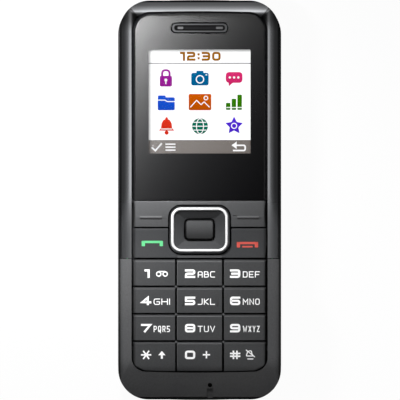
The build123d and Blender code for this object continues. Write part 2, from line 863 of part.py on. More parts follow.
def nav_key():
    key = slab(nav_hole_width - 2 * nav_gap, nav_hole_height - 2 * nav_gap, nav_hole_radius - nav_gap,
               nav_base_z, nav_dish_top_z, 0, nav_centre_y)
    # The dish slopes on four sides from the ring to the centre key, with rounded outer corners.
    rim_width = nav_hole_width - 2 * (nav_gap + nav_ring_margin + nav_ring_width)
    rim_height = nav_hole_height - 2 * (nav_gap + nav_ring_margin + nav_ring_width)
    dish_rim = Pos(0, nav_centre_y, nav_dish_top_z) * Rectangle(rim_width, rim_height)
    dish_foot = Pos(0, nav_centre_y, nav_dish_foot_z) * Rectangle(ok_hole_width, ok_hole_height)
    within = extrude(nav_ring_outline(-nav_ring_width), amount=overrun)
    key -= loft([dish_rim, dish_foot], ruled=True) & within
    key -= slab(ok_hole_width, ok_hole_height, ok_hole_radius, 0, overrun, 0, nav_centre_y)
    groove = extrude(Pos(0, 0, nav_ring_top_z - nav_ring_depth) * nav_ring_outline(0), amount=overrun)
    key -= groove - extrude(nav_ring_outline(-nav_ring_width), amount=overrun * 2)
    for x, y in nav_posts():
        key += prism(nav_post_radius, plunger_foot_z, nav_base_z, x, nav_centre_y + y)
    return key


def ok_key():
    key = slab(ok_hole_width - 2 * ok_gap, ok_hole_height - 2 * ok_gap, ok_hole_radius - ok_gap,
               ok_base_z, ok_face_z, 0, nav_centre_y)
    key = chamfer(key.faces().sort_by(Axis.Z)[-1].edges(), ok_edge)
    return key + prism(plunger_radius, plunger_foot_z, ok_base_z, 0, nav_centre_y)


def outer_tub():
    # The whole of the phone's back, with rounded corners and a rounded lower edge.
    form = slab(phone_width, housing_length, housing_corner_radius, 0, parting_z)
    return fillet(form.faces().sort_by(Axis.Z)[0].edges(), back_edge_radius)


def inner_tub(inset):
    # The same set in by a wall, for hidden faces: its corners and its lower edge are cut straight.
    form = cut_slab(phone_width - 2 * inset, housing_length - 2 * inset, housing_corner_radius - inset,
                    inset, parting_z)
    return chamfer(form.faces().sort_by(Axis.Z)[0].edges(), back_edge_radius - inset)


def crest(end, width, step, low_z):
    # The low swelling of an end wall that shows past the front frame.
    edge_y = housing_length / 2 - housing_wall / 2
    side_y = housing_length / 2 + step
    top_y = housing_length / 2 + crest_rise
    edge = Polyline((-width / 2, side_y), (-width / 2, edge_y), (width / 2, edge_y), (width / 2, side_y))
    edge += ThreePointArc((width / 2, side_y), (0, top_y), (-width / 2, side_y))
    swelling = extrude(Pos(0, 0, low_z) * make_face(edge), amount=crest_high_z - low_z)
    return swelling if end > 0 else mirror(swelling, about=Plane.XZ)


def cover_zone(gap):
    return block(-phone_width, phone_width, -phone_length, cover_top_y + gap, -overrun, cover_lip_z + gap)


def cut_slot(width, length, depth, x, y):
    # A slot in the back, with its corners cut off.
    outline = Rectangle(width, length)
    outline = chamfer(outline.vertices(), min(width, length) * slot_corner_share)
    return extrude(Pos(x, y) * outline, amount=depth)


def hook_run(low_y, high_y, gap):
    # The space of the hooks on both of the cover's lips between two heights along the phone.
    skin_x = phone_width / 2 - cover_wall
    low_z = hook_top_z - hook_height - gap
    runs = []
    for side in (-1, 1):
        low_x, high_x = sorted((side * (skin_x - hook_depth - gap), side * skin_x))
        runs.append(block(low_x, high_x, low_y, high_y, low_z, hook_top_z + gap))
    return runs[0] + runs[1]


def battery_cover():
    cover = (outer_tub() & cover_zone(0)) - inner_tub(cover_wall)
    for index in range(hook_count):
        y = hook_first_y + index * (hook_last_y - hook_first_y) / (hook_count - 1)
        cover += hook_run(y - hook_length / 2, y + hook_length / 2, 0)
    for index in range(grip_count):
        y = cover_top_y - grip_margin + index * grip_pitch
        cover -= cut_slot(grip_width, grip_height, grip_depth, 0, y)
    return cover


def rear_housing():
    housing = outer_tub()
    housing += crest(1, crest_top_width, crest_top_step, crest_low_z)
    housing += crest(-1, crest_bottom_width, 0, crest_low_z)
    housing -= cover_zone(cover_gap) - inner_tub(cover_wall + cover_gap)
    housing -= hook_run(-phone_length, hook_last_y + hook_length / 2 + cover_gap, cover_gap)
    # The board's own space, its ledge, and the deeper spaces above and below the battery.
    inner_radius = housing_corner_radius - housing_wall
    ledge_radius = inner_radius - board_ledge_width
    housing -= cut_slab(housing_inner_width, housing_inner_length, inner_radius, board_bottom_z, overrun)
    housing -= cut_slab(ledge_inner_width, ledge_inner_length, ledge_radius,
                        bay_floor_z + bay_floor_thickness, overrun)
    deep = cut_slab(ledge_inner_width, ledge_inner_length, ledge_radius, back_wall, overrun)
    housing -= deep & block(-phone_width, phone_width, upper_cavity_bottom_y, phone_length, 0, overrun)
    housing -= cut_slab(lower_cavity_width, lower_cavity_top_y - lower_cavity_bottom_y,
                        cavity_corner_radius, lower_cavity_floor_z, overrun, 0, lower_cavity_centre_y)
    # The battery bay, open to the back.
    housing -= block(-battery_width / 2 - bay_gap, battery_width / 2 + bay_gap,
                     battery_bottom_y - bay_gap, battery_top_y + bay_gap, 0, bay_floor_z)
    housing -= block(-card_width / 2 - holder_rail_width - card_window_margin,
                     card_width / 2 + holder_rail_width + card_window_margin,
                     card_centre_y - card_length / 2 - card_window_margin,
                     card_centre_y + card_length / 2 + card_window_margin, 0, board_bottom_z)
    housing -= block(-connector_width / 2 - connector_gap, connector_width / 2 + connector_gap,
                     battery_top_y, upper_cavity_bottom_y,
                     connector_bottom_z - connector_gap, board_bottom_z)
    for x, y in screw_spots:
        housing -= prism(screw_radius + screw_gap, 0, overrun, x, y)
        housing -= prism(screw_head_radius + screw_gap, 0, screw_seat_z, x, y)
    housing -= port_recess()
    for index in range(slot_count):
        x = speaker_x + (index - (slot_count - 1) / 2) * slot_pitch
        housing -= cut_slot(slot_width, slot_length, back_wall, x, speaker_y)
    return housing + motor_cradle()


def port_recess():
    # The pocket for the side cover, the mouth behind it and the room for the socket.
    skin_x = -phone_width / 2
    pocket = block(skin_x - overrun, skin_x + port_inset + port_thickness + port_gap,
                   port_bottom_y - port_gap, port_top_y + port_gap,
                   port_bottom_z - port_gap, port_top_z + port_gap)
    centre_y = (port_bottom_y + port_top_y) / 2
    mouth_half = socket_length / 2 - socket_wall
    mouth = block(skin_x - overrun, skin_x + overrun / 2, centre_y - mouth_half, centre_y + mouth_half,
                  board_bottom_z - socket_height + socket_wall, board_bottom_z - socket_wall)
    back_x = -housing_inner_width / 2
    room = block(back_x, back_x + socket_depth + overrun / 4,
                 centre_y - socket_length / 2 - connector_gap, centre_y + socket_length / 2 + connector_gap,
                 board_bottom_z - socket_height - connector_gap, board_bottom_z)
    return pocket + mouth + room


def side_socket():
    centre_y = (port_bottom_y + port_top_y) / 2
    front_x = -housing_inner_width / 2 + socket_set_back
    low_z = board_bottom_z - socket_height
    shell = block(front_x, front_x + socket_depth, centre_y - socket_length / 2,
                  centre_y + socket_length / 2, low_z, board_bottom_z)
    inner = socket_length / 2 - socket_wall
    shell -= block(front_x - overrun, front_x + socket_depth - socket_wall, centre_y - inner,
                   centre_y + inner, low_z + socket_wall, board_bottom_z - socket_wall)
    middle_z = board_bottom_z - socket_height / 2
    tongue = block(front_x + socket_depth - socket_wall - socket_tongue_depth, front_x + socket_depth,
                   centre_y - inner + socket_wall, centre_y + inner - socket_wall,
                   middle_z - socket_tongue / 2, middle_z + socket_tongue / 2)
    return shell + tongue


def port_cover():
    # A rubber flap, rounded at its hinged upper end, with a shallow plug on its inner face.
    outer_x = -phone_width / 2 + port_inset
    inner_x = outer_x + port_thickness
    hinge_y = port_top_y - port_thickness / 2
    flap = block(outer_x, inner_x, port_bottom_y, hinge_y, port_bottom_z, port_top_z)
    flap += post(port_thickness / 2, port_bottom_z, port_top_z, (outer_x + inner_x) / 2, hinge_y)
    centre_y = (port_bottom_y + port_top_y) / 2
    half = socket_length / 2 - socket_wall - plug_gap
    low_z = board_bottom_z - socket_height + socket_wall + plug_gap
    high_z = board_bottom_z - socket_wall - plug_gap
    return flap + block(inner_x, inner_x + plug_depth, centre_y - half, centre_y + half, low_z, high_z)


def battery():
    case = block(-battery_width / 2, battery_width / 2, battery_bottom_y, battery_top_y,
                 battery_bottom_z, battery_bottom_z + battery_thickness)
    return fillet(case.edges().filter_by(Axis.Y), battery_edge_radius)


def terminal_places():
    return [(index - (terminal_count - 1) / 2) * terminal_pitch for index in range(terminal_count)]


def battery_terminals():
    return group(block(x - terminal_width / 2, x + terminal_width / 2,
                       battery_top_y, battery_top_y + terminal_thickness,
                       terminal_z - terminal_height / 2, terminal_z + terminal_height / 2)
                 for x in terminal_places())


def contact_block(x, grow):
    low_y = battery_top_y + terminal_thickness + contact_gap
    return block(x - contact_width / 2 - grow, x + contact_width / 2 + grow, low_y - grow,
                 low_y + contact_length + grow, terminal_z - terminal_height / 2 - grow,
                 terminal_z + terminal_height / 2 + grow)


def battery_contacts():
    # Spring blades with a nose that presses on the battery's terminals.
    blades = []
    for x in terminal_places():
        blade = contact_block(x, 0)
        nose = blade.faces().sort_by(Axis.Y)[0].edges().filter_by(Axis.X)
        blades.append(chamfer(nose, contact_length / 2))
    return group(blades)


def battery_connector():
    body = block(-connector_width / 2, connector_width / 2, connector_low_y, connector_high_y,
                 connector_bottom_z, board_bottom_z)
    for x in terminal_places():
        body -= contact_block(x, contact_slot_margin)
    return body


def main_board():
    board = cut_slab(board_width, board_length, board_corner_radius, board_bottom_z, board_top_z)
    for x, y in screw_spots:
        board -= boss_gap(x, y)
    return board


def shield_can(low_x, high_x, low_y, high_y):
    low_z = board_bottom_z - can_height
    can = block(low_x, high_x, low_y, high_y, low_z, board_bottom_z)
    return can - block(low_x + can_wall, high_x - can_wall, low_y + can_wall, high_y - can_wall,
                       low_z + can_wall, overrun)


def shield_cans():
    upper_x = board_width / 2 - can_side_margin
    upper_y = connector_high_y + can_connector_gap
    lower_x = ledge_inner_width / 2 - can_lower_side
    return group([shield_can(upper_x - can_upper_width, upper_x, upper_y, upper_y + can_upper_length),
                  shield_can(-lower_x, lower_x, battery_bottom_y + can_lower_foot,
                             card_centre_y - card_length / 2 - can_card_gap)])


def card_outline():
    half_x, half_y = card_width / 2, card_length / 2
    corner = Polyline((-half_x, -half_y), (half_x, -half_y), (half_x, half_y - card_notch),
                      (half_x - card_notch, half_y), (-half_x, half_y), close=True)
    return Pos(0, card_centre_y) * make_face(corner)


def sim_card():
    return extrude(Pos(0, 0, card_bottom_z) * card_outline(), amount=card_thickness)


def sim_holder():
    top_z = board_bottom_z
    half_x = card_width / 2 + holder_rail_gap
    low_y = card_centre_y - card_length / 2
    high_y = card_centre_y + card_length / 2
    card_top_z = card_bottom_z + card_thickness
    holder = block(-half_x - holder_rail_width, half_x + holder_rail_width, low_y, high_y,
                   card_top_z + holder_lip_gap, top_z)
    for side in (-1, 1):
        rail = sorted((side * half_x, side * (half_x + holder_rail_width)))
        lip = sorted((side * (half_x - holder_lip), side * (half_x + holder_rail_width)))
        lip_top_z = card_bottom_z - holder_lip_gap
        holder += block(rail[0], rail[1], low_y, high_y, lip_top_z - holder_lip_thickness, top_z)
        holder += block(lip[0], lip[1], low_y, high_y, lip_top_z - holder_lip_thickness, lip_top_z)
    return holder


def case_screw(x, y):
    head_z = screw_seat_z - screw_head_height
    head = Pos(x, y, head_z) * RegularPolygon(screw_head_radius, screw_head_sides, major_radius=False)
    screw = extrude(head, amount=screw_head_height)
    screw += prism(screw_radius, screw_seat_z, screw_tip_z, x, y)
    socket = Pos(x, y, head_z) * RegularPolygon(screw_socket_radius, 6)
    return screw - extrude(socket, amount=screw_socket_depth)


def case_screws():
    return group(case_screw(x, y) for x, y in screw_spots)


def speaker_outline():
    return Pos(speaker_x, speaker_y) * RectangleRounded(speaker_width, speaker_length, speaker_corner_radius)


def loudspeaker():
    return extrude(Pos(0, 0, back_wall + speaker_lift) * speaker_outline(), amount=speaker_height)


def speaker_gasket():
    hole = Pos(speaker_x, speaker_y) * Rectangle(speaker_width - 2 * speaker_gasket_width,
                                                 speaker_length - 2 * speaker_gasket_width)
    ring = speaker_outline() - hole
    return extrude(Pos(0, 0, back_wall + speaker_gasket_gap) * ring,
                   amount=speaker_lift - 2 * speaker_gasket_gap)


def along_x(outline, low_x, high_x):
    # An outline drawn round the motor's axis and drawn out along it.
    return Pos(low_x, motor_y, motor_z) * extrude(Plane.YZ * outline, amount=high_x - low_x)


def vibration_motor():
    motor = along_x(Circle(motor_radius), motor_left_x, motor_right_x)
    return motor - along_x(Circle(shaft_radius + shaft_gap), motor_right_x - shaft_sink, motor_right_x)


def motor_shaft():
    return along_x(Circle(shaft_radius), motor_right_x - shaft_sink + shaft_gap,
                   motor_right_x + weight_gap + weight_length)


def motor_weight():
    # A half disc on the shaft, which shakes the phone as it spins.
    low_x = motor_right_x + weight_gap
    disc = Circle(weight_radius) - Pos(0, weight_radius) * Rectangle(2 * weight_radius, 2 * weight_radius)
    disc += Circle(2 * shaft_radius)
    disc -= Circle(shaft_radius)
    return Pos(low_x, motor_y, motor_z) * extrude(Plane.YZ * disc, amount=weight_length)


def motor_cradle():
    ribs = []
    for low_x in (motor_left_x + cradle_inset,
                  motor_right_x - cradle_inset - cradle_width):
        ribs.append(block(low_x, low_x + cradle_width, motor_y - motor_radius - cradle_margin,
                          motor_y + motor_radius + cradle_margin, back_wall - cradle_gap, motor_z))
    # The hollow has flat sides, which hold the round motor along a few lines.
    return ribs[0] + ribs[1] - along_x(octagon(motor_radius + cradle_gap), motor_left_x, motor_right_x)


def microphone():
    return post(mic_radius, board_top_z, board_top_z + mic_height, mic_x, mic_y)


def mic_boot():
    boot = prism(mic_radius + boot_gap + boot_wall, board_top_z, ledge_z - boot_gap, mic_x, mic_y)
    boot -= prism(mic_radius + boot_gap, 0, board_top_z + mic_height + boot_gap, mic_x, mic_y)
    return boot - prism(mic_hole_radius, 0, overrun, mic_x, mic_y)


def antenna_carrier():
    y = lower_cavity_centre_y
    carrier = cut_slab(carrier_width, carrier_length, carrier_corner_radius, carrier_bottom_z,
                       board_bottom_z, 0, y)
    inner_x = carrier_width / 2 - carrier_wall
    inner_y = carrier_length / 2 - carrier_wall
    return carrier - block(-inner_x, inner_x, y - inner_y, y + inner_y, carrier_bottom_z + carrier_wall, overrun)


def antenna_element():
    # A flat metal track that winds to and fro under the carrier.
    y = lower_cavity_centre_y
    half_y = carrier_length / 2 - element_margin
    reach = carrier_width / 2 - element_margin
    pitch = (2 * reach - element_track) / (2 * element_turns)
    track = Sketch()
    for index in range(2 * element_turns + 1):
        x = -reach + element_track / 2 + index * pitch
        track += Pos(x, y) * Rectangle(element_track, 2 * half_y)
        if index < 2 * element_turns:
            end = 1 if index % 2 else -1
            link_y = y + end * (half_y - element_track / 2)
            track += Pos(x + pitch / 2, link_y) * Rectangle(pitch, element_track)
    return extrude(Pos(0, 0, carrier_bottom_z - element_thickness) * track, amount=element_thickness)


def build_all():
    form = key_form()
    pieces = {
        "front_frame_upper": front_frame_upper(),
        "front_frame_lower": front_frame_lower(),
        "display_lens": display_lens(),
        "lens_mask": lens_mask(),
        "earpiece_trim": earpiece_trim(),
        "earpiece_mesh": earpiece_mesh(),
        "earpiece_speaker": earpiece_speaker(),
        "lcd_panel": lcd_panel(),
        "backlight": backlight(),
        "lcd_holder": lcd_holder(),
        "lcd_ribbon": lcd_ribbon(),
        "keypad_mat": keypad_mat(form),
        "dome_film": dome_film(),
        "key_domes": key_domes(),
        "nav_gasket": nav_gasket(),
        "nav_key": nav_key(),
        "nav_ring": nav_ring(),
        "ok_key": ok_key(),
        "rear_housing": rear_housing(),
        "battery_cover": battery_cover(),
        "side_socket": side_socket(),
        "port_cover": port_cover(),
        "battery": battery(),
        "battery_terminals": battery_terminals(),
        "battery_contacts": battery_contacts(),
        "battery_connector": battery_connector(),
        "main_board": main_board(),
        "shield_cans": shield_cans(),
        "sim_card": sim_card(),
        "sim_holder": sim_holder(),
        "case_screws": case_screws(),
        "loudspeaker": loudspeaker(),
        "speaker_gasket": speaker_gasket(),
        "vibration_motor": vibration_motor(),
        "motor_shaft": motor_shaft(),
        "motor_weight": motor_weight(),
        "microphone": microphone(),
        "mic_boot": mic_boot(),
        "antenna_carrier": antenna_carrier(),
        "antenna_element": antenna_element(),
    }
    pieces.update(function_keys(form))
    pieces.update(number_keys(form))
    return pieces


os.makedirs("parts", exist_ok=True)
for name, piece in build_all().items():
    export_step(piece, "parts/" + name + ".step")
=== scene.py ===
import json
import math
import bpy
import bmesh
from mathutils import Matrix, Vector

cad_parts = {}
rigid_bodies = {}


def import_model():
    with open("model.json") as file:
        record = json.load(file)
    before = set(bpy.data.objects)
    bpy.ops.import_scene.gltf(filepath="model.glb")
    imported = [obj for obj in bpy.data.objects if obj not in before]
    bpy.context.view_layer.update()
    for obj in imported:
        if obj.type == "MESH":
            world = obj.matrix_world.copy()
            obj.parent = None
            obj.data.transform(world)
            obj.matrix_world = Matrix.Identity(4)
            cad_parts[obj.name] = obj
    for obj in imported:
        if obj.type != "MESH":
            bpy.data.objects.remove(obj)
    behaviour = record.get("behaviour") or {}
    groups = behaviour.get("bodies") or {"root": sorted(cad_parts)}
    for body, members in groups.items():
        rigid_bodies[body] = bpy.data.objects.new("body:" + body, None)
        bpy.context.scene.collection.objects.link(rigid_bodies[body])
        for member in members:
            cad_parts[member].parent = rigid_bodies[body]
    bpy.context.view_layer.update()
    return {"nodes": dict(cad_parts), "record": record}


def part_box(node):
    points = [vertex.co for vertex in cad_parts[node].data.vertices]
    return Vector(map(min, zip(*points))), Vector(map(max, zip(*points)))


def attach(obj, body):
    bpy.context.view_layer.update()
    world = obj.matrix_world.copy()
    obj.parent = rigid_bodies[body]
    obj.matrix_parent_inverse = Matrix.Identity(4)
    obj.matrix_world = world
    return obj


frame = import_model()
nodes = frame["nodes"]
scene = bpy.context.scene
mm = 0.001
black = (0.0, 0.0, 0.0, 1)
print("frame loaded:", len(nodes), "nodes")


# shader trees

def wire(tree, source, target):
    tree.links.new(source, target)


def setAll(thing, settings):
    for key, value in settings.items():
        setattr(thing, key, value)


spacing = dict(rows=5, across=220, down=260)       # how nodes are laid out in the editor


# a shader node with its settings, and with inputs that are each a value or another node's output
def put(tree, kind, inputs=None, **settings):
    column, row = divmod(len(tree.nodes), spacing["rows"])
    node = tree.nodes.new(kind if kind.startswith("NodeGroup") else "ShaderNode" + kind)
    node.location = (spacing["across"] * column, -spacing["down"] * row)
    setAll(node, settings)
    for label, value in (inputs or {}).items():
        if isinstance(value, (int, float, tuple)):
            node.inputs[label].default_value = value
        else:
            wire(tree, value, node.inputs[label])
    return node


def sums(tree, operation, first, second=0.0, third=0.0, clamp=False):
    inputs = {0: first, 1: second, 2: third}
    return put(tree, "Math", inputs, operation=operation, use_clamp=clamp).outputs[0]


def times(tree, first, *others):
    for other in others:
        first = sums(tree, "MULTIPLY", first, other)
    return first


def rise(tree, value, start, end, low=0.0, high=1.0):
    limits = {"Value": value, "From Min": start, "From Max": end, "To Min": low, "To Max": high}
    return put(tree, "MapRange", limits, interpolation_type="SMOOTHSTEP").outputs["Result"]


def blendColours(tree, share, first, second, how="MIX"):
    inputs = {0: share, 6: first, 7: second}
    return put(tree, "Mix", inputs, data_type="RGBA", blend_type=how).outputs[2]


def mixShaders(tree, share, first, second):
    return put(tree, "MixShader", {0: share, 1: first, 2: second}).outputs[0]


def noise(tree, place, scale, detail=2.0):
    inputs = {"Vector": place, "Scale": scale, "Detail": detail}
    return put(tree, "TexNoise", inputs).outputs["Fac"]


def placeOf(tree, kind="Object"):
    return put(tree, "TexCoord").outputs[kind]


# the X, Y and Z of a point
def spotOf(tree, kind="Object"):
    return put(tree, "SeparateXYZ", {0: placeOf(tree, kind)}).outputs


# greys along a value, from pairs of a position and a level
def greyRamp(tree, value, steps):
    node = put(tree, "ValToRGB", {0: value})
    for spot, _ in steps[1:-1]:
        node.color_ramp.elements.new(spot)
    for element, (spot, level) in zip(node.color_ramp.elements, steps):
        element.position = spot
        element.color = (level, level, level, 1)
    return node.outputs["Color"]


def newGroup(name, inputs, outputs):
    group = bpy.data.node_groups.new(name, "ShaderNodeTree")
    for way, sockets in (("INPUT", inputs), ("OUTPUT", outputs)):
        for label, value in sockets.items():
            kind = "NodeSocketColor" if isinstance(value, tuple) else "NodeSocketFloat"
            group.interface.new_socket(name=label, in_out=way, socket_type=kind).default_value = value
    return group, put(group, "NodeGroupInput").outputs, put(group, "NodeGroupOutput").inputs


skinInputs = {"Colour": (0.5, 0.5, 0.5, 1), "Grains Per Metre": 3000.0, "Spread": 0.1, "Roughness": 0.5,
              "Roughness Spread": 0.05}
skinOutputs = {"Colour": black, "Roughness": 0.5, "Height": 0.0}


# what both skins give: swing moves the brightness, and drift the roughness
def endSkin(group, given, made, swing, drift, height):
    tint = put(group, "HueSaturation", {
        "Color": given["Colour"], "Value": sums(group, "MULTIPLY_ADD", swing, given["Spread"], 1.0)})
    wire(group, tint.outputs["Color"], made["Colour"])
    rough = sums(group, "MULTIPLY_ADD", drift, given["Roughness Spread"], given["Roughness"])
    wire(group, rough, made["Roughness"])
    wire(group, height, made["Height"])
    return group


sparkLook = dict(detail=3.0, patchesPerMetre=90.0, patchShare=0.4, grainShare=2.0)


# a moulded or painted skin: fine light and dark grains, and a height for them
def makeFineSpark(look):
    group, given, made = newGroup("fineSpark", skinInputs, skinOutputs)
    place = placeOf(group)
    grain = noise(group, place, given["Grains Per Metre"], look["detail"])
    swing = times(group, sums(group, "SUBTRACT", grain, 0.5), look["grainShare"])
    drift = sums(group, "SUBTRACT", noise(group, place, look["patchesPerMetre"]), 0.5)
    both = sums(group, "MULTIPLY_ADD", drift, look["patchShare"], swing)
    return endSkin(group, given, made, both, drift, grain)


linesLook = dict(detail=4.0, stretch=(0.04, 1.0, 1.0))


# a rolled, turned or stamped metal skin: long lines one way
def makeDrawnLines(look):
    group, given, made = newGroup("drawnLines", skinInputs, skinOutputs)
    stretched = put(group, "Mapping", {"Vector": placeOf(group), "Scale": look["stretch"]})
    lines = noise(group, stretched.outputs["Vector"], given["Grains Per Metre"], look["detail"])
    swing = sums(group, "SUBTRACT", lines, 0.5)
    return endSkin(group, given, made, swing, swing, lines)


wearLook = dict(samples=4, blotchesPerMetre=700.0, blotch=(0.35, 0.75), turn=(0.01, 0.2))


# corners and edges that hands have rubbed
def makeEdgeWear(look):
    group, given, made = newGroup("edgeWear", {"Width": 0.3 * mm, "Amount": 0.3}, {"Mask": 0.0})
    rounded = put(group, "Bevel", {"Radius": given["Width"]}, samples=look["samples"])
    faced = put(group, "NewGeometry")
    across = put(group, "VectorMath", {0: rounded.outputs["Normal"], 1: faced.outputs["Normal"]},
                 operation="DOT_PRODUCT")
    edge = rise(group, sums(group, "SUBTRACT", 1.0, across.outputs["Value"]), *look["turn"])
    patchy = rise(group, noise(group, placeOf(group), look["blotchesPerMetre"]), *look["blotch"])
    wire(group, times(group, edge, patchy, given["Amount"]), made["Mask"])
    return group


dustLook = dict(detail=4.0, cloud=(0.35, 0.8), specksPerMetre=5000.0, speck=(0.66, 0.76))


# a thin uneven film of dust and finger grease
def makeDustFilm(look):
    group, given, made = newGroup("dustFilm", {"Amount": 0.1, "Patches Per Metre": 60.0}, {"Mask": 0.0})
    place = placeOf(group)
    cloud = rise(group, noise(group, place, given["Patches Per Metre"], look["detail"]), *look["cloud"])
    specks = rise(group, noise(group, place, look["specksPerMetre"]), *look["speck"])
    wire(group, times(group, sums(group, "MAXIMUM", cloud, specks), given["Amount"]), made["Mask"])
    return group


# towards and the bands bound where the painted rim highlight falls; spared takes painted shade away there
sideShadeLook = dict(towards=(0.05, 0.16), bandStart=(0.86, 0.94), bandEnd=(0.992, 0.982), spared=-0.8)


# painted shade on steep sides and bevels round a face that looks along Z, and a painted highlight on
# its upper and left rims, as if lit from the upper left
def makeSideShadeAndRimHighlight(look):
    group, given, made = newGroup(
        "sideTone", {"Flat": 0.97, "Steep": 0.8, "Amount": 0.6, "Rim": 0.0}, {"Mask": 0.0, "Rim": 0.0})
    faced = put(group, "NewGeometry").outputs["Normal"]
    spot = put(group, "SeparateXYZ", {0: faced}).outputs
    level = sums(group, "ABSOLUTE", spot["Z"])
    share = rise(group, level, given["Flat"], given["Steep"], 0.0, given["Amount"])
    towards = rise(group, sums(group, "SUBTRACT", spot["Y"], spot["X"]), *look["towards"])
    band = times(group, rise(group, level, *look["bandStart"]), rise(group, level, *look["bandEnd"]))
    litRim = times(group, towards, given["Rim"])
    wire(group, times(group, band, litRim), made["Rim"])
    wire(group, times(group, share, sums(group, "MULTIPLY_ADD", litRim, look["spared"], 1.0)), made["Mask"])
    return group


groups = {"fineSpark": makeFineSpark(sparkLook), "drawnLines": makeDrawnLines(linesLook),
          "edgeWear": makeEdgeWear(wearLook), "dustFilm": makeDustFilm(dustLook),
          "sideTone": makeSideShadeAndRimHighlight(sideShadeLook)}


def useGroup(tree, name, inputs):
    return put(tree, "Group", inputs, node_tree=groups[name]).outputs


# a skin from what a look says of it
def skinOf(tree, look, kind="fineSpark"):
    labels = {"Colour": "colour", "Spread": "spread", "Roughness": "rough", "Grains Per Metre": "grains",
              "Roughness Spread": "roughSpread"}
    return useGroup(tree, kind, {label: look[key] for label, key in labels.items() if key in look})


# the painted shade of a look's steep sides, and the painted highlight of its rims
def sideOf(tree, look):
    inputs = dict(zip(("Flat", "Steep", "Amount"), look["side"]), Rim=look.get("rim", 0.0))
    return useGroup(tree, "sideTone", inputs)


plainValues = {"base": "Base Color", "metal": "Metallic", "specular": "Specular IOR Level", "ior": "IOR",
               "clear": "Transmission Weight", "coat": "Coat Weight", "coatRough": "Coat Roughness",
               "bright": "Emission Strength"}


# a material with the plain values that its look gives
def startMaterial(name, look):
    material = bpy.data.materials.new(name)
    material.use_nodes = True
    shader = material.node_tree.nodes["Principled BSDF"]
    for key, label in plainValues.items():
        if key in look:
            shader.inputs[label].default_value = look[key]
    return material, material.node_tree, shader


# the wires that end a material; a height stands out by deep, in millimetres
def endMaterial(tree, shader, colour, roughness, height=None, deep=0.0):
    wire(tree, colour, shader.inputs["Base Color"])
    wire(tree, roughness, shader.inputs["Roughness"])
    if height is not None:
        bump = put(tree, "Bump", {"Height": height, "Distance": deep * mm})
        wire(tree, bump.outputs["Normal"], shader.inputs["Normal"])
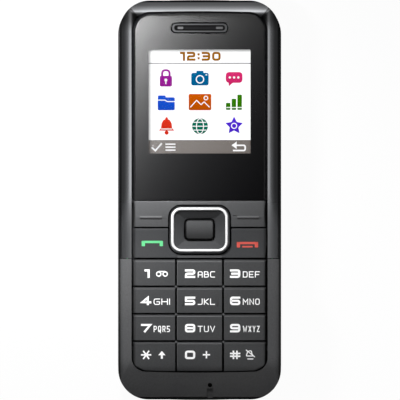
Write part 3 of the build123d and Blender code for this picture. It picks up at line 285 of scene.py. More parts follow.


# What each finish is made of. colour is linear; grains is how many there are to a metre, deep how far
# they stand out in millimetres, spread how far they differ in brightness. side gives the flat and steep
# limits of the painted shade on steep sides, and its share; rim is the share of a painted
# highlight on upper and left rims. border, fall and raised blend another colour in between two
# places, by a share: towards the sides of the phone, along it and upwards. It is black where none is
# given, so border and fall are painted shade.
drawn = dict(metal=1.0, kind="drawnLines")
keySkin = dict(rough=0.5, specular=0.08, grains=3600, spread=0.22, deep=0.004, dust=0.02,
               side=(0.965, 0.82, 0.8), border=(17.0, 17.8, 0.7))
dashSkin = dict(rough=0.5, specular=0.05, grains=3600, spread=0.15, deep=0.003)
finishes = {
    "frame_matte": dict(
        colour=(0.082, 0.083, 0.086), rough=0.5, specular=0.1, grains=3600, spread=0.35, deep=0.006,
        dust=0.04, side=(0.966, 0.945, 0.92), fall=(-42.0, -46.5, 0.45)),
    "mask_print": dict(
        colour=(0.003, 0.003, 0.0035), rough=0.5, specular=0.2, grains=6000, spread=0.2, deep=0.001),
    "trim_grey": dict(
        colour=(0.045, 0.046, 0.048), rough=0.4, specular=0.15, grains=5000, spread=0.08, deep=0.001,
        dust=0.02, side=(0.97, 0.8, 0.9)),
    "trim_line": dict(
        colour=(0.003, 0.003, 0.003), rough=0.5, specular=0.05, grains=5000, spread=0.1, deep=0.001),
    "trim_pale": dict(
        colour=(0.07, 0.07, 0.072), rough=0.5, specular=0.1, grains=5000, spread=0.1, deep=0.001),
    "speaker_metal": dict(
        drawn, colour=(0.5, 0.5, 0.52), rough=0.35, grains=4000, spread=0.25, deep=0.002, wear=0.1,
        dust=0.1),
    "light_guide": dict(
        colour=(0.8, 0.81, 0.82), rough=0.3, grains=2500, spread=0.04, deep=0.001, dust=0.05),
    "holder_white": dict(
        colour=(0.7, 0.7, 0.69), rough=0.55, grains=3000, spread=0.06, deep=0.003, wear=0.1, dust=0.08),
    "ribbon_film": dict(
        colour=(0.42, 0.2, 0.045), rough=0.25, coat=0.4, coatRough=0.1, grains=2500, spread=0.12, deep=0.001,
        dust=0.03),
    "key_silicone": dict(
        colour=(0.012, 0.012, 0.013), rough=0.6, specular=0.1, grains=4000, spread=0.2, deep=0.003,
        raised=(12.7, 12.8, 1.0, 0.062, 0.063, 0.065)),
    "film_clear": dict(
        colour=(0.75, 0.75, 0.72), rough=0.2, grains=2000, spread=0.04, deep=0.001, dust=0.05),
    "dome_steel": dict(
        drawn, colour=(0.62, 0.62, 0.63), rough=0.25, grains=5000, spread=0.2, deep=0.001, dust=0.05),
    "mat_silicone": dict(
        colour=(0.03, 0.03, 0.032), rough=0.6, specular=0.3, grains=4000, spread=0.15, deep=0.003, dust=0.1),
    "key_grey": dict(keySkin, colour=(0.052, 0.053, 0.055), rim=0.9),
    "soft_grey": dict(keySkin, colour=(0.055, 0.056, 0.058)),
    "call_grey": dict(keySkin, colour=(0.036, 0.037, 0.039), rim=0.9),
    # the dashes' painted highlight and painted shadow
    "dash_pale": dict(dashSkin, colour=(0.105, 0.106, 0.109)),
    "dash_dark": dict(dashSkin, colour=(0.026, 0.026, 0.027)),
    "nav_grey": dict(
        colour=(0.042, 0.043, 0.045), rough=0.5, specular=0.08, grains=3600, spread=0.2, deep=0.004,
        side=(0.9, 0.6, 0.6), fall=(-12.0, -3.2, 0.5)),
    "ok_grey": dict(
        colour=(0.064, 0.065, 0.067), rough=0.5, specular=0.08, grains=3600, spread=0.2, deep=0.004,
        dust=0.02, side=(0.97, 0.8, 0.8), fall=(-5.2, -11.0, 0.78)),
    "ring_chrome": dict(
        colour=(0.76, 0.765, 0.77), rough=0.3, metal=0.35, coat=0.5, coatRough=0.1, grains=5000, spread=0.03,
        deep=0.0004, dust=0.02),
    "housing_black": dict(
        colour=(0.010, 0.010, 0.011), rough=0.5, specular=0.06, grains=3000, spread=0.3, deep=0.006,
        wear=0.15, dust=0.03),
    "cover_black": dict(
        colour=(0.013, 0.013, 0.014), rough=0.48, specular=0.4, grains=2200, spread=0.3, deep=0.012,
        wear=0.35, dust=0.03),
    "socket_black": dict(
        colour=(0.016, 0.016, 0.016), rough=0.5, grains=3000, spread=0.2, deep=0.004, wear=0.1, dust=0.1),
    "flap_rubber": dict(
        colour=(0.013, 0.013, 0.014), rough=0.62, specular=0.3, grains=3600, spread=0.2, deep=0.004,
        wear=0.1, dust=0.12),
    "battery_case": dict(
        colour=(0.13, 0.14, 0.16), rough=0.35, coat=0.3, coatRough=0.2, grains=1800, spread=0.12, deep=0.002,
        wear=0.2, dust=0.08),
    "contact_gold": dict(
        drawn, colour=(0.8, 0.56, 0.2), rough=0.22, grains=5000, spread=0.2, deep=0.001, wear=0.2,
        dust=0.05),
    "connector_black": dict(
        colour=(0.02, 0.02, 0.02), rough=0.45, grains=3000, spread=0.2, deep=0.003, wear=0.1, dust=0.1),
    "shield_steel": dict(
        drawn, colour=(0.55, 0.56, 0.57), rough=0.33, grains=1500, spread=0.25, deep=0.003, wear=0.1,
        dust=0.1),
    "card_plastic": dict(
        colour=(0.72, 0.72, 0.7), rough=0.35, grains=2500, spread=0.05, deep=0.002, wear=0.1, dust=0.08),
    "screw_steel": dict(
        drawn, colour=(0.42, 0.42, 0.44), rough=0.3, grains=4000, spread=0.3, deep=0.002, wear=0.3,
        dust=0.05),
    "gasket_foam": dict(
        colour=(0.02, 0.02, 0.02), rough=0.85, specular=0.2, grains=1500, spread=0.4, deep=0.04, dust=0.1),
    "motor_steel": dict(
        drawn, colour=(0.58, 0.58, 0.6), rough=0.28, grains=3000, spread=0.25, deep=0.002, wear=0.1,
        dust=0.05),
    "weight_brass": dict(
        colour=(0.45, 0.42, 0.36), rough=0.5, metal=0.9, grains=2000, spread=0.25, deep=0.01, wear=0.2,
        dust=0.05),
    "carrier_plastic": dict(
        colour=(0.035, 0.035, 0.037), rough=0.5, grains=2500, spread=0.2, deep=0.005, wear=0.1, dust=0.1),
}

# how far wear, painted shade on steep sides, painted highlights on rims and dust take a spot
# away from its finish
tones = dict(roughSpread=0.3, wearWidth=0.25, worn=2.2, wornMore=0.01, smoother=-0.15, darker=0.12,
             brighter=4.0, dust=(0.3, 0.29, 0.27, 1))


def makeFinish(name, look):
    material, tree, shader = startMaterial(name, look)
    base = look["colour"]
    skin = skinOf(tree, dict(look, colour=(*base, 1), roughSpread=look["rough"] * tones["roughSpread"]),
                  look.get("kind", "fineSpark"))
    colour, roughness = skin["Colour"], skin["Roughness"]
    if "wear" in look:
        rub = useGroup(tree, "edgeWear", {"Width": tones["wearWidth"] * mm, "Amount": look["wear"]})["Mask"]
        lighter = tuple(min(1.0, tones["worn"] * part + tones["wornMore"]) for part in base)
        colour = blendColours(tree, rub, colour, (*lighter, 1))
        roughness = sums(tree, "MULTIPLY_ADD", rub, tones["smoother"], roughness)
    # painted shade on steep sides, and a painted highlight on upper and left rims
    if "side" in look:
        sideShading = sideOf(tree, look)
        for mask, share in (("Mask", tones["darker"]), ("Rim", tones["brighter"])):
            paintedColour = tuple(share * part for part in base)
            colour = blendColours(tree, sideShading[mask], colour, (*paintedColour, 1))
    # border and fall paint shade in black; raised blends in its own colour
    for key, axis in (("border", "X"), ("fall", "Y"), ("raised", "Z")):
        if key in look:
            start, end, share, *tint = look[key]
            place = spotOf(tree)[axis]
            if axis == "X":
                place = sums(tree, "ABSOLUTE", place)
            low, high = (0.0, share) if start < end else (share, 0.0)
            amount = rise(tree, place, min(start, end) * mm, max(start, end) * mm, low, high)
            colour = blendColours(tree, amount, colour, (*tint, 1) if tint else black)
    if "dust" in look:
        film = useGroup(tree, "dustFilm", {"Amount": look["dust"]})["Mask"]
        colour = blendColours(tree, film, colour, tones["dust"])
        roughness = sums(tree, "ADD", film, roughness, clamp=True)
    endMaterial(tree, shader, colour, roughness, skin["Height"], look["deep"])
    return material


materials = {name: makeFinish(name, look) for name, look in finishes.items()}


# the polished upper frame: it dulls towards its foot, and painted shade darkens it round its mitred corners
# and on its steep sides; turns gives the painted shade from the corner's side up to its top
glossLook = dict(
    colour=(0.085, 0.087, 0.091, 1), spread=0.06, rough=0.15, roughSpread=0.03, grains=5000, metal=1.0,
    coat=0.2, coatRough=0.06, dull=0.46, dullFrom=4.0, dullTo=-10.0, side=(0.7, 0.55, 0.5),
    steep=(0.01, 0.01, 0.011, 1), corner=(13.1, 45.35), nearest=0.01,
    turns=((0.0, 1.0), (0.10, 0.8), (0.30, 0.3), (0.545, 0.12), (0.56, 0.62), (0.75, 0.85), (1.0, 1.0)))


def makeGloss(look):
    material, tree, shader = startMaterial("frame_gloss", look)
    spot = spotOf(tree)
    skin = skinOf(tree, look)
    dull = rise(tree, spot["Y"], look["dullTo"] * mm, look["dullFrom"] * mm, look["dull"], 0.0)
    x, y = look["corner"]
    out = sums(tree, "MAXIMUM", sums(tree, "SUBTRACT", sums(tree, "ABSOLUTE", spot["X"]), x * mm), 0.0)
    up = sums(tree, "MAXIMUM", sums(tree, "SUBTRACT", spot["Y"], y * mm), 0.0)
    out = sums(tree, "ADD", out, look["nearest"] * mm)      # so that the corner itself has an angle
    turn = times(tree, sums(tree, "ARCTAN2", up, out), 2 / math.pi)
    # painted shade round the mitred corners, then painted shade on the steep sides
    colour = blendColours(tree, 1.0, skin["Colour"], greyRamp(tree, turn, look["turns"]), "MULTIPLY")
    colour = blendColours(tree, sideOf(tree, look)["Mask"], colour, look["steep"])
    endMaterial(tree, shader, colour, sums(tree, "ADD", skin["Roughness"], dull))
    return material


materials["frame_gloss"] = makeGloss(glossLook)


# the clear lens: window gives the middle and half sizes of the part over the display, which is coated
# against glare
lensLook = dict(colour=(0.97, 0.975, 0.98, 1), spread=0.01, rough=0.004, roughSpread=0.0, metal=0.0,
                clear=1.0, ior=1.06, specular=0.02, smear=0.01, coat=1.0, coatRough=0.03,
                window=(0.0, 26.57, 13.7, 14.0), glare=0.01)


def makeLens(look):
    material, tree, shader = startMaterial("lens_clear", look)
    skin = skinOf(tree, look)
    film = useGroup(tree, "dustFilm", {"Amount": look["smear"]})
    spot = spotOf(tree)
    x, y, halfX, halfY = look["window"]
    inside = 1.0
    for axis, middle, half in (("X", x, halfX), ("Y", y, halfY)):
        off = sums(tree, "ABSOLUTE", sums(tree, "SUBTRACT", spot[axis], middle * mm))
        inside = times(tree, sums(tree, "LESS_THAN", off, half * mm), inside)
    coat = sums(tree, "MULTIPLY_ADD", inside, look["glare"] - look["coat"], look["coat"])
    wire(tree, coat, shader.inputs["Coat Weight"])
    endMaterial(tree, shader, skin["Colour"], sums(tree, "ADD", film["Mask"], skin["Roughness"]))
    return material


materials["lens_clear"] = makeLens(lensLook)


# the lit display: a title strip, a rule, a white page and a bar for the softkeys; a soft shade runs along
# its left and top edges
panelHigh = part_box("lcd_panel")[1]
display = dict(
    colour=(0.03, 0.03, 0.03, 1), spread=0.1, rough=0.25, left=-13.62, top=40.58, rule=36.85,
    ruleHeight=0.27, barTop=15.9, barEdge=0.27, page=(1.0, 1.0, 1.0, 1), ruleColour=(0.17, 0.17, 0.17, 1),
    bar=(0.103, 0.082, 0.069, 1), barLine=(0.07, 0.058, 0.05, 1), shade=1.0, leftShade=0.45, topShade=0.35,
    bright=1.06, specular=0.0, depth=0.1)


def makeDisplay(look):
    material, tree, shader = startMaterial("display_glass", look)
    spot = spotOf(tree)
    offRule = sums(tree, "ABSOLUTE", sums(tree, "SUBTRACT", spot["Y"], look["rule"] * mm))
    onRule = sums(tree, "LESS_THAN", offRule, look["ruleHeight"] / 2 * mm)
    inBarLine = sums(tree, "LESS_THAN", spot["Y"], (look["barTop"] + look["barEdge"]) * mm)
    inBar = sums(tree, "LESS_THAN", spot["Y"], look["barTop"] * mm)
    colour = blendColours(tree, onRule, look["page"], look["ruleColour"])
    colour = blendColours(tree, inBarLine, colour, look["barLine"])
    colour = blendColours(tree, inBar, colour, look["bar"])
    left, top, shade = look["left"], look["top"], look["shade"]
    fromLeft = rise(tree, spot["X"], left * mm, (left + shade) * mm, look["leftShade"], 1.0)
    fromTop = rise(tree, spot["Y"], top * mm, (top - shade) * mm, look["topShade"], 1.0)
    facing = sums(tree, "GREATER_THAN", spot["Z"], panelHigh.z - look["depth"] * mm)
    lit = times(tree, fromLeft, fromTop, facing)
    wire(tree, blendColours(tree, lit, black, colour), shader.inputs["Emission Color"])
    skin = skinOf(tree, look)
    endMaterial(tree, shader, skin["Colour"], skin["Roughness"])
    return material


materials["display_glass"] = makeDisplay(display)


# the earpiece mesh, its holes painted dark as shade, and the green board
meshLook = dict(colour=(0.006, 0.006, 0.0065, 1), hole=(0.002, 0.002, 0.002, 1), pitch=0.38, bore=0.30,
                edge=0.1, deep=0.06, spread=0.2, rough=0.4, specular=0.1)


def makeMesh(look):
    material, tree, shader = startMaterial("mesh_grey", look)
    holes = put(tree, "TexVoronoi", {
        "Vector": placeOf(tree), "Scale": 1 / (look["pitch"] * mm), "Randomness": 0.0})
    wall = rise(tree, holes.outputs["Distance"], look["bore"], look["bore"] + look["edge"])
    skin = skinOf(tree, look)
    colour = blendColours(tree, wall, look["hole"], skin["Colour"])
    endMaterial(tree, shader, colour, skin["Roughness"], wall, look["deep"])
    return material


boardLook = dict(colour=(0.012, 0.11, 0.04, 1), track=(0.03, 0.2, 0.075, 1), pitch=1.4, trackWidth=0.06,
                 trackSoft=0.2, deep=0.03, spread=0.15, rough=0.35, coat=0.3, coatRough=0.15)


def makeBoard(look):
    material, tree, shader = startMaterial("board_green", look)
    tracks = put(tree, "TexBrick", {
        "Vector": placeOf(tree), "Scale": 1 / (look["pitch"] * mm), "Mortar Size": look["trackWidth"],
        "Mortar Smooth": look["trackSoft"]}).outputs["Fac"]
    skin = skinOf(tree, look)
    colour = blendColours(tree, tracks, skin["Colour"], look["track"])
    endMaterial(tree, shader, colour, skin["Roughness"], tracks, look["deep"])
    return material


materials["mesh_grey"] = makeMesh(meshLook)
materials["board_green"] = makeBoard(boardLook)
print("materials made:", len(materials))


# the CAD nodes get their finishes, and small rounded edges where hands and eyes meet them
edges = {"nav_key": 0.08, "nav_ring": 0.1, "ok_key": 0.12, "port_cover": 0.12}
keyEdge = 0.13      # of the softkeys, the send and end keys and the number keys
edgeLook = dict(weld=0.001, segments=2, sharpest=24, weight=80)     # sharpest is in degrees
ownFinish = {"nav_key": "nav_grey", "ok_key": "ok_grey", "send_key": "call_grey", "end_key": "call_grey",
             "softkey_left": "soft_grey", "softkey_right": "soft_grey", "microphone": "gasket_foam"}


def addModifier(piece, name, kind, **settings):
    setAll(piece.modifiers.new(name, kind), settings)


def roundEdges(node, width):
    addModifier(node, "join", "WELD", merge_threshold=edgeLook["weld"] * mm)
    addModifier(node, "soften", "BEVEL", width=width * mm, segments=edgeLook["segments"],
                limit_method="ANGLE", angle_limit=math.radians(edgeLook["sharpest"]), harden_normals=False)
    addModifier(node, "even", "WEIGHTED_NORMAL", weight=edgeLook["weight"], keep_sharp=False)


for part in frame["record"]["subparts"]:
    name = part["node"]
    for place in nodes[name].material_slots:
        place.material = materials[ownFinish.get(name, part["material_slot"])]
    if name in edges:
        roundEdges(nodes[name], edges[name])
    elif name.startswith(("softkey_", "send_", "end_", "key_")) and name != "key_domes":
        roundEdges(nodes[name], keyEdge)
print("nodes finished")


# drawing with strokes: a glyph is a list of paths in a box one wide and one high, and a point's third
# value is how round its corner is
glyphs = {
    "1": [[(0, 1, 0), (1, 1, 0), (1, 0)]],
    "2": [[(0, 1), (1, 1), (1, 0.5), (0, 0.5), (0, 0, 0), (1, 0)]],
    "3": [[(0, 1), (1, 1), (1, 0), (0, 0)], [(0.15, 0.5), (1, 0.5)]],
    "4": [[(0.7, 0), (0.7, 1, 0), (0, 0.28, 0), (1, 0.28)]],
    "5": [[(1, 1), (0, 1, 0), (0, 0.5, 0), (1, 0.5), (1, 0), (0, 0)]],
    "6": [[(1, 1), (0, 1), (0, 0), (1, 0), (1, 0.52), (0, 0.52, 0)]],
    "7": [[(0, 1), (1, 1, 0), (0.35, 0)]],
    "8": [[(0, 0), (0, 1), (1, 1), (1, 0), "close"], [(0, 0.5), (1, 0.5)]],
    "9": [[(0, 0), (1, 0), (1, 1), (0, 1), (0, 0.48), (1, 0.48, 0)]],
    "0": [[(0, 0), (0, 1), (1, 1), (1, 0), "close"]],
    "*": [[(0, 0.5), (1, 0.5)], [(0.22, 0), (0.78, 1)], [(0.22, 1), (0.78, 0)]],
    "#": [[(0.3, 0), (0.3, 1)], [(0.7, 0), (0.7, 1)], [(0, 0.3), (1, 0.3)], [(0, 0.7), (1, 0.7)]],
    "+": [[(0, 0.5), (1, 0.5)], [(0.5, 0), (0.5, 1)]],
    "A": [[(0, 0), (0, 1), (1, 1), (1, 0)], [(0, 0.42), (1, 0.42)]],
    "B": [[(0, 0, 0), (0, 1, 0), (0.9, 1), (0.9, 0.52), (1, 0.52), (1, 0), "close"],
          [(0, 0.52), (0.9, 0.52)]],
    "C": [[(1, 1), (0, 1), (0, 0), (1, 0)]],
    "D": [[(0, 0, 0), (0, 1, 0), (1, 1), (1, 0), "close"]],
    "E": [[(1, 1), (0, 1, 0), (0, 0, 0), (1, 0)], [(0, 0.5), (0.85, 0.5)]],
    "F": [[(1, 1), (0, 1, 0), (0, 0)], [(0, 0.48), (0.85, 0.48)]],
    "G": [[(1, 1), (0, 1), (0, 0), (1, 0), (1, 0.48, 0), (0.5, 0.48)]],
    "H": [[(0, 0), (0, 1)], [(1, 0), (1, 1)], [(0, 0.5), (1, 0.5)]],
    "I": [[(0, 0), (0, 1)]],
    "J": [[(0, 0), (1, 0), (1, 1)]],
    "K": [[(0, 0), (0, 1)], [(1, 1), (0.1, 0.5, 0), (1, 0)]],
    "L": [[(0, 1), (0, 0, 0), (1, 0)]],
    "M": [[(0, 0), (0, 1, 0), (0.5, 0.4, 0), (1, 1, 0), (1, 0)]],
    "N": [[(0, 0), (0, 1, 0), (1, 0, 0), (1, 1)]],
    "P": [[(0, 0), (0, 1, 0), (1, 1), (1, 0.42), (0, 0.42)]],
    "R": [[(0, 0), (0, 1, 0), (1, 1), (1, 0.45), (0, 0.45)], [(0.5, 0.45), (1, 0)]],
    "Q": [[(0, 0), (0, 1), (1, 1), (1, 0), "close"], [(0.55, 0.25), (0.95, -0.2)]],
    "T": [[(0, 1), (1, 1)], [(0.5, 1), (0.5, 0)]],
    "U": [[(0, 1), (0, 0), (1, 0), (1, 1)]],
    "V": [[(0, 1), (0.5, 0, 0), (1, 1)]],
    "W": [[(0, 1), (0.22, 0, 0), (0.5, 0.75, 0), (0.78, 0, 0), (1, 1)]],
    "X": [[(0, 1), (1, 0)], [(0, 0), (1, 1)]],
    "Y": [[(0, 1), (0.5, 0.45, 0), (1, 1)], [(0.5, 0.45), (0.5, 0)]],
    "Z": [[(0, 1), (1, 1, 0), (0, 0, 0), (1, 0)]],
}
glyphs["S"], glyphs["O"] = glyphs["5"], glyphs["0"]
strokeLook = dict(arcSteps=4, slant=0.45, corner=0.3, nearlyNone=1e-6)


def roundedPath(path, radius, closed):
    result = []
    for index, (point, share) in enumerate(path):
        if not share * radius or (not closed and index in (0, len(path) - 1)):
            result.append(point)
            continue
        before, after = path[index - 1][0], path[(index + 1) % len(path)][0]
        back, on = before - point, after - point
        reach = min(radius * share, back.length / 2, on.length / 2)
        start, end = point + back.normalized() * reach, point + on.normalized() * reach
        for step in range(strokeLook["arcSteps"] + 1):
            t = step / strokeLook["arcSteps"]
            result.append(start * (1 - t) ** 2 + point * 2 * t * (1 - t) + end * t ** 2)
    return result


def addRibbon(mesh, path, width, closed):
    count = len(path)
    rims = []
    for index, point in enumerate(path):
        before = path[index - 1] if (closed or index) else point
        after = path[(index + 1) % count] if (closed or index < count - 1) else point
        back = (point - before).normalized() if (point - before).length else None
        on = (after - point).normalized() if (after - point).length else None
        back, on = back or on, on or back
        along = (back + on).normalized() if (back + on).length > strokeLook["nearlyNone"] else on
        side = Vector((-along.y, along.x))
        slant = max(strokeLook["slant"], side.dot(Vector((-on.y, on.x))))
        reach = side * (width / 2 / slant)
        rims.append([mesh.verts.new((*(point + reach), 0.0)), mesh.verts.new((*(point - reach), 0.0))])
    for index in range(count if closed else count - 1):
        (a, b), (c, d) = rims[index], rims[(index + 1) % count]
        mesh.faces.new((a, b, d, c))


def addGlyph(mesh, name, left, foot, wide, tall, stroke, corner=strokeLook["corner"]):
    for raw in glyphs[name]:
        closed = raw[-1] == "close"
        inner = [(left + stroke / 2, wide - stroke), (foot + stroke / 2, tall - stroke)]
        path = []
        for point in raw[:-1] if closed else raw:
            across, up = (start + share * size for (start, size), share in zip(inner, point))
            if name == "I":
                across = left + wide / 2
            path.append((Vector((across, up)), point[2] if len(point) > 2 else 1.0))
        if not closed:          # open ends reach the box's edge
            for end, neighbour in ((0, 1), (-1, -2)):
                away = (path[end][0] - path[neighbour][0]).normalized()
                path[end] = (path[end][0] + away * stroke / 2, path[end][1])
        addRibbon(mesh, roundedPath(path, corner * min(wide, tall), closed), stroke, closed)


def addPlate(mesh, points):
    mesh.faces.new([mesh.verts.new((x, y, 0.0)) for x, y in points])


def disc(x, y, radius, steps=24, tall=None):
    tall = radius if tall is None else tall
    return [(x + radius * math.cos(turn), y + tall * math.sin(turn))
            for turn in (2 * math.pi * step / steps for step in range(steps))]


def softBox(x, y, wide, tall, radius):
    corners = [(x + wide / 2, y + tall / 2), (x - wide / 2, y + tall / 2),
               (x - wide / 2, y - tall / 2), (x + wide / 2, y - tall / 2)]
    path = [(Vector(corner), 1.0) for corner in corners]
    return [tuple(point) for point in roundedPath(path, radius, True)]


def addLoop(mesh, points, width):
    addRibbon(mesh, [Vector(point) for point in points], width, True)


def addLine(mesh, points, width, radius=0.0):
    path = [(Vector(point), 1.0) for point in points]
    addRibbon(mesh, roundedPath(path, radius, False), width, False)


def addObject(name, data):
    made = bpy.data.objects.new(name, data)
    scene.collection.objects.link(made)
    return made


def topOf(node, x, y):
    hit, spot, _, _ = nodes[node].ray_cast(Vector((x, y, 1.0)), Vector((0, 0, -1)))
    return spot.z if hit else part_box(node)[1].z


# gives a drawing in millimetres a body, thickness and finish; over drapes it on that node's top
def finishDrawing(name, mesh, material, body, level=None, over=None, lift=0.004, thick=0.02):
    bmesh.ops.triangulate(mesh, faces=mesh.faces[:])
    bmesh.ops.recalc_face_normals(mesh, faces=mesh.faces[:])
    for face in mesh.faces:
        if face.normal.z < 0:
            face.normal_flip()
    for vertex in mesh.verts:
        vertex.co *= mm
        vertex.co.z = topOf(over, vertex.co.x, vertex.co.y) + lift * mm if over else level
    data = bpy.data.meshes.new(name)
    mesh.to_mesh(data)
    mesh.free()
    data.materials.append(material)
    piece = addObject(name, data)
    addModifier(piece, "thickness", "SOLIDIFY", thickness=thick * mm, offset=1.0)
    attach(piece, body)


# the printed legends on the keys; their ink also glows a little, as painted light
inks = {"white": (0.92, 0.92, 0.92), "green": (0.09, 0.40, 0.17), "red": (0.44, 0.07, 0.055)}
inkGlowLook = dict(rough=0.45, specular=0.2, grains=5000, spread=0.03, deep=0.001, dust=0.02, bright=0.15)


def makeInkWithGlow(name, colour):
    ink = makeFinish("ink_" + name, dict(inkGlowLook, colour=colour))
    ink.node_tree.nodes["Principled BSDF"].inputs["Emission Color"].default_value = (*colour, 1)
    return ink


inkOf = {name: makeInkWithGlow(name, colour) for name, colour in inks.items()}

# narrow is the 1's share of a digit's width, and inset brings it to the digit's middle
legend = dict(digitTall=2.3, digitWide=2.78, digitStroke=0.56, digitCorner=0.22, narrow=0.5, inset=0.95,
              signStroke=0.75, letterUp=0.1, letterTall=1.68, letterStroke=0.235, letterGap=0.34,
              letterWidths={"I": 0.12, "W": 1.5, "M": 1.2})
columns = [dict(digit=-15.8, letters=-12.4, room=4.4), dict(digit=-3.95, letters=-0.5, room=4.65),
           dict(digit=8.2, letters=11.65, room=4.55)]
rows = {"123": -21.0, "456": -28.35, "789": -35.7, "*0#": -42.9}        # the feet of the digits
keyNames = {"*": "key_star", "#": "key_hash"}
lettersOf = {"2": "ABC", "3": "DEF", "4": "GHI", "5": "JKL", "6": "MNO", "7": "PQRS", "8": "TUV",
             "9": "WXYZ"}

# the small signs beside four digits, with heights above the digits' feet
mailbox = dict(reels=(-11.02, -9.28), middle=1.05, radius=0.58, tape=1.72, stroke=0.3)
shift = dict(head=[(-11.15, 1.05), (-9.2, 1.05), (-10.18, 2.2)], stem=[(-10.18, 1.1), (-10.18, 0.1)],
             stroke=0.55)
plus = dict(left=0.87, up=0.2, size=1.95, stroke=0.4)
silence = dict(bell=[(12.6, 0.9), (13.0, 2.1), (13.9, 2.3), (14.2, 1.2), (14.6, 0.8)], radius=0.3,
               lines=[([(12.6, 0.85), (14.6, 0.85)], 0.26), ([(12.5, 2.5), (14.9, 0.55)], 0.24),
                      ([(12.9, 0.05), (14.5, 0.05)], 0.26)], stroke=0.26)


def addSign(mesh, key, foot):
    def above(points):
        return [(x, foot + y) for x, y in points]

    if key == "key_1":          # the sign for a mailbox: two reels and a tape
        for x in mailbox["reels"]:
            addLoop(mesh, disc(x, foot + mailbox["middle"], mailbox["radius"]), mailbox["stroke"])
        addLine(mesh, above([(x, mailbox["tape"]) for x in mailbox["reels"]]), mailbox["stroke"])
    elif key == "key_star":     # an arrow for capital letters
        addPlate(mesh, above(shift["head"]))
        addLine(mesh, above(shift["stem"]), shift["stroke"])
    elif key == "key_0":
        addGlyph(mesh, "+", plus["left"], foot + plus["up"], plus["size"], plus["size"], plus["stroke"])
    elif key == "key_hash":     # a bell with a stroke through it, for silence
        addLine(mesh, above(silence["bell"]), silence["stroke"], silence["radius"])
        for points, stroke in silence["lines"]:
            addLine(mesh, above(points), stroke)


def addLetters(mesh, letters, column, foot):
    widths = [legend["letterWidths"].get(letter, 1.0) for letter in letters]
    spare = column["room"] - legend["letterGap"] * (len(letters) - 1)
    left = column["letters"]
    for letter, share in zip(letters, widths):
        wide = spare / sum(widths) * share
        addGlyph(mesh, letter, left, foot + legend["letterUp"], wide, legend["letterTall"],
                 legend["letterStroke"])
        left += wide + legend["letterGap"]


for digits, foot in rows.items():
    for column, digit in zip(columns, digits):
        key = keyNames.get(digit, "key_" + digit)
        drawing = bmesh.new()
        left, wide, stroke = column["digit"], legend["digitWide"], legend["digitStroke"]
        if digit == "1":
            left, wide = left + legend["inset"], wide * legend["narrow"]
        if digit in "*#":
            stroke *= legend["signStroke"]
        addGlyph(drawing, digit, left, foot, wide, legend["digitTall"], stroke, legend["digitCorner"])
        addLetters(drawing, lettersOf.get(digit, ""), column, foot)
        addSign(drawing, key, foot)
        finishDrawing("legend_" + key, drawing, inkOf["white"], key, over=key)

# the signs for taking and ending a call: a bar on two legs, and under the second one the rest it lies on
callSigns = {"send_key": dict(ink="green", x=-12.75, foot=-12.45, top=-11.0),
             "end_key": dict(ink="red", x=12.9, foot=-12.8, top=-11.3)}
callLook = dict(wide=5.75, bar=0.62, barRadius=0.3, leg=0.9, legRadius=0.2, restUp=0.22,
                rest=(2.8, 0.45, 0.1))
for key, sign in callSigns.items():
    drawing = bmesh.new()
    x, foot, top = sign["x"], sign["foot"], sign["top"]
    wide, bar, leg = callLook["wide"], callLook["bar"], callLook["leg"]
    addPlate(drawing, softBox(x, top - bar / 2, wide, bar, callLook["barRadius"]))
    for side in (-1, 1):
        addPlate(drawing, softBox(x + side * (wide - leg) / 2, (foot + top) / 2, leg, top - foot,
                                  callLook["legRadius"]))
    if key == "end_key":
        addPlate(drawing, softBox(x, foot + callLook["restUp"], *callLook["rest"]))
    finishDrawing("sign_" + key, drawing, inkOf[sign["ink"]], key, over=key)

# raised marks beside the 5, felt with a thumb
thumbMarks = dict(x=4.62, y=-27.4, box=(0.5, 1.8, 0.2), thick=0.16)    # width, height and radius
for name, side in (("left", -1), ("right", 1)):
    drawing = bmesh.new()
    addPlate(drawing, softBox(side * thumbMarks["x"], thumbMarks["y"], *thumbMarks["box"]))
    finishDrawing("thumb_mark_" + name, drawing, materials["key_grey"], "key_5", over="key_5",
                  thick=thumbMarks["thick"])

# a pale plate on each softkey's dash as its painted highlight, and a dark strip at its foot as its
# painted shadow, level with the key's top between them
dashes = dict(x={"softkey_left": -13.15, "softkey_right": 13.05}, middle=-4.65, wide=5.9, radius=0.15,
              lift=0.004, rows=[("dash", -4.5, 0.44, "dash_pale"), ("dash_shadow", -4.88, 0.3, "dash_dark")])
for key, x in dashes["x"].items():
    level = topOf(key, x * mm, dashes["middle"] * mm) + dashes["lift"] * mm
    for name, y, tall, finish in dashes["rows"]:
        drawing = bmesh.new()
        addPlate(drawing, softBox(x, y, dashes["wide"], tall, dashes["radius"]))
        finishDrawing(name + "_" + key, drawing, materials[finish], key, level=level)

# small raised marks where the grooves cross, pale in the colour of the dashes' painted highlight
grooveMarks = dict(rows=(-23.35, -30.8, -38.25), columns=(-6.37, 6.4), half=0.36, level=13.3, thick=0.1)
drawing = bmesh.new()
for y in grooveMarks["rows"]:
    for x in grooveMarks["columns"]:
        half = grooveMarks["half"]
        addPlate(drawing, [(x + half, y), (x, y + half), (x - half, y), (x, y - half)])
finishDrawing("groove_marks", drawing, materials["dash_pale"], "phone", level=grooveMarks["level"] * mm,
              thick=grooveMarks["thick"])

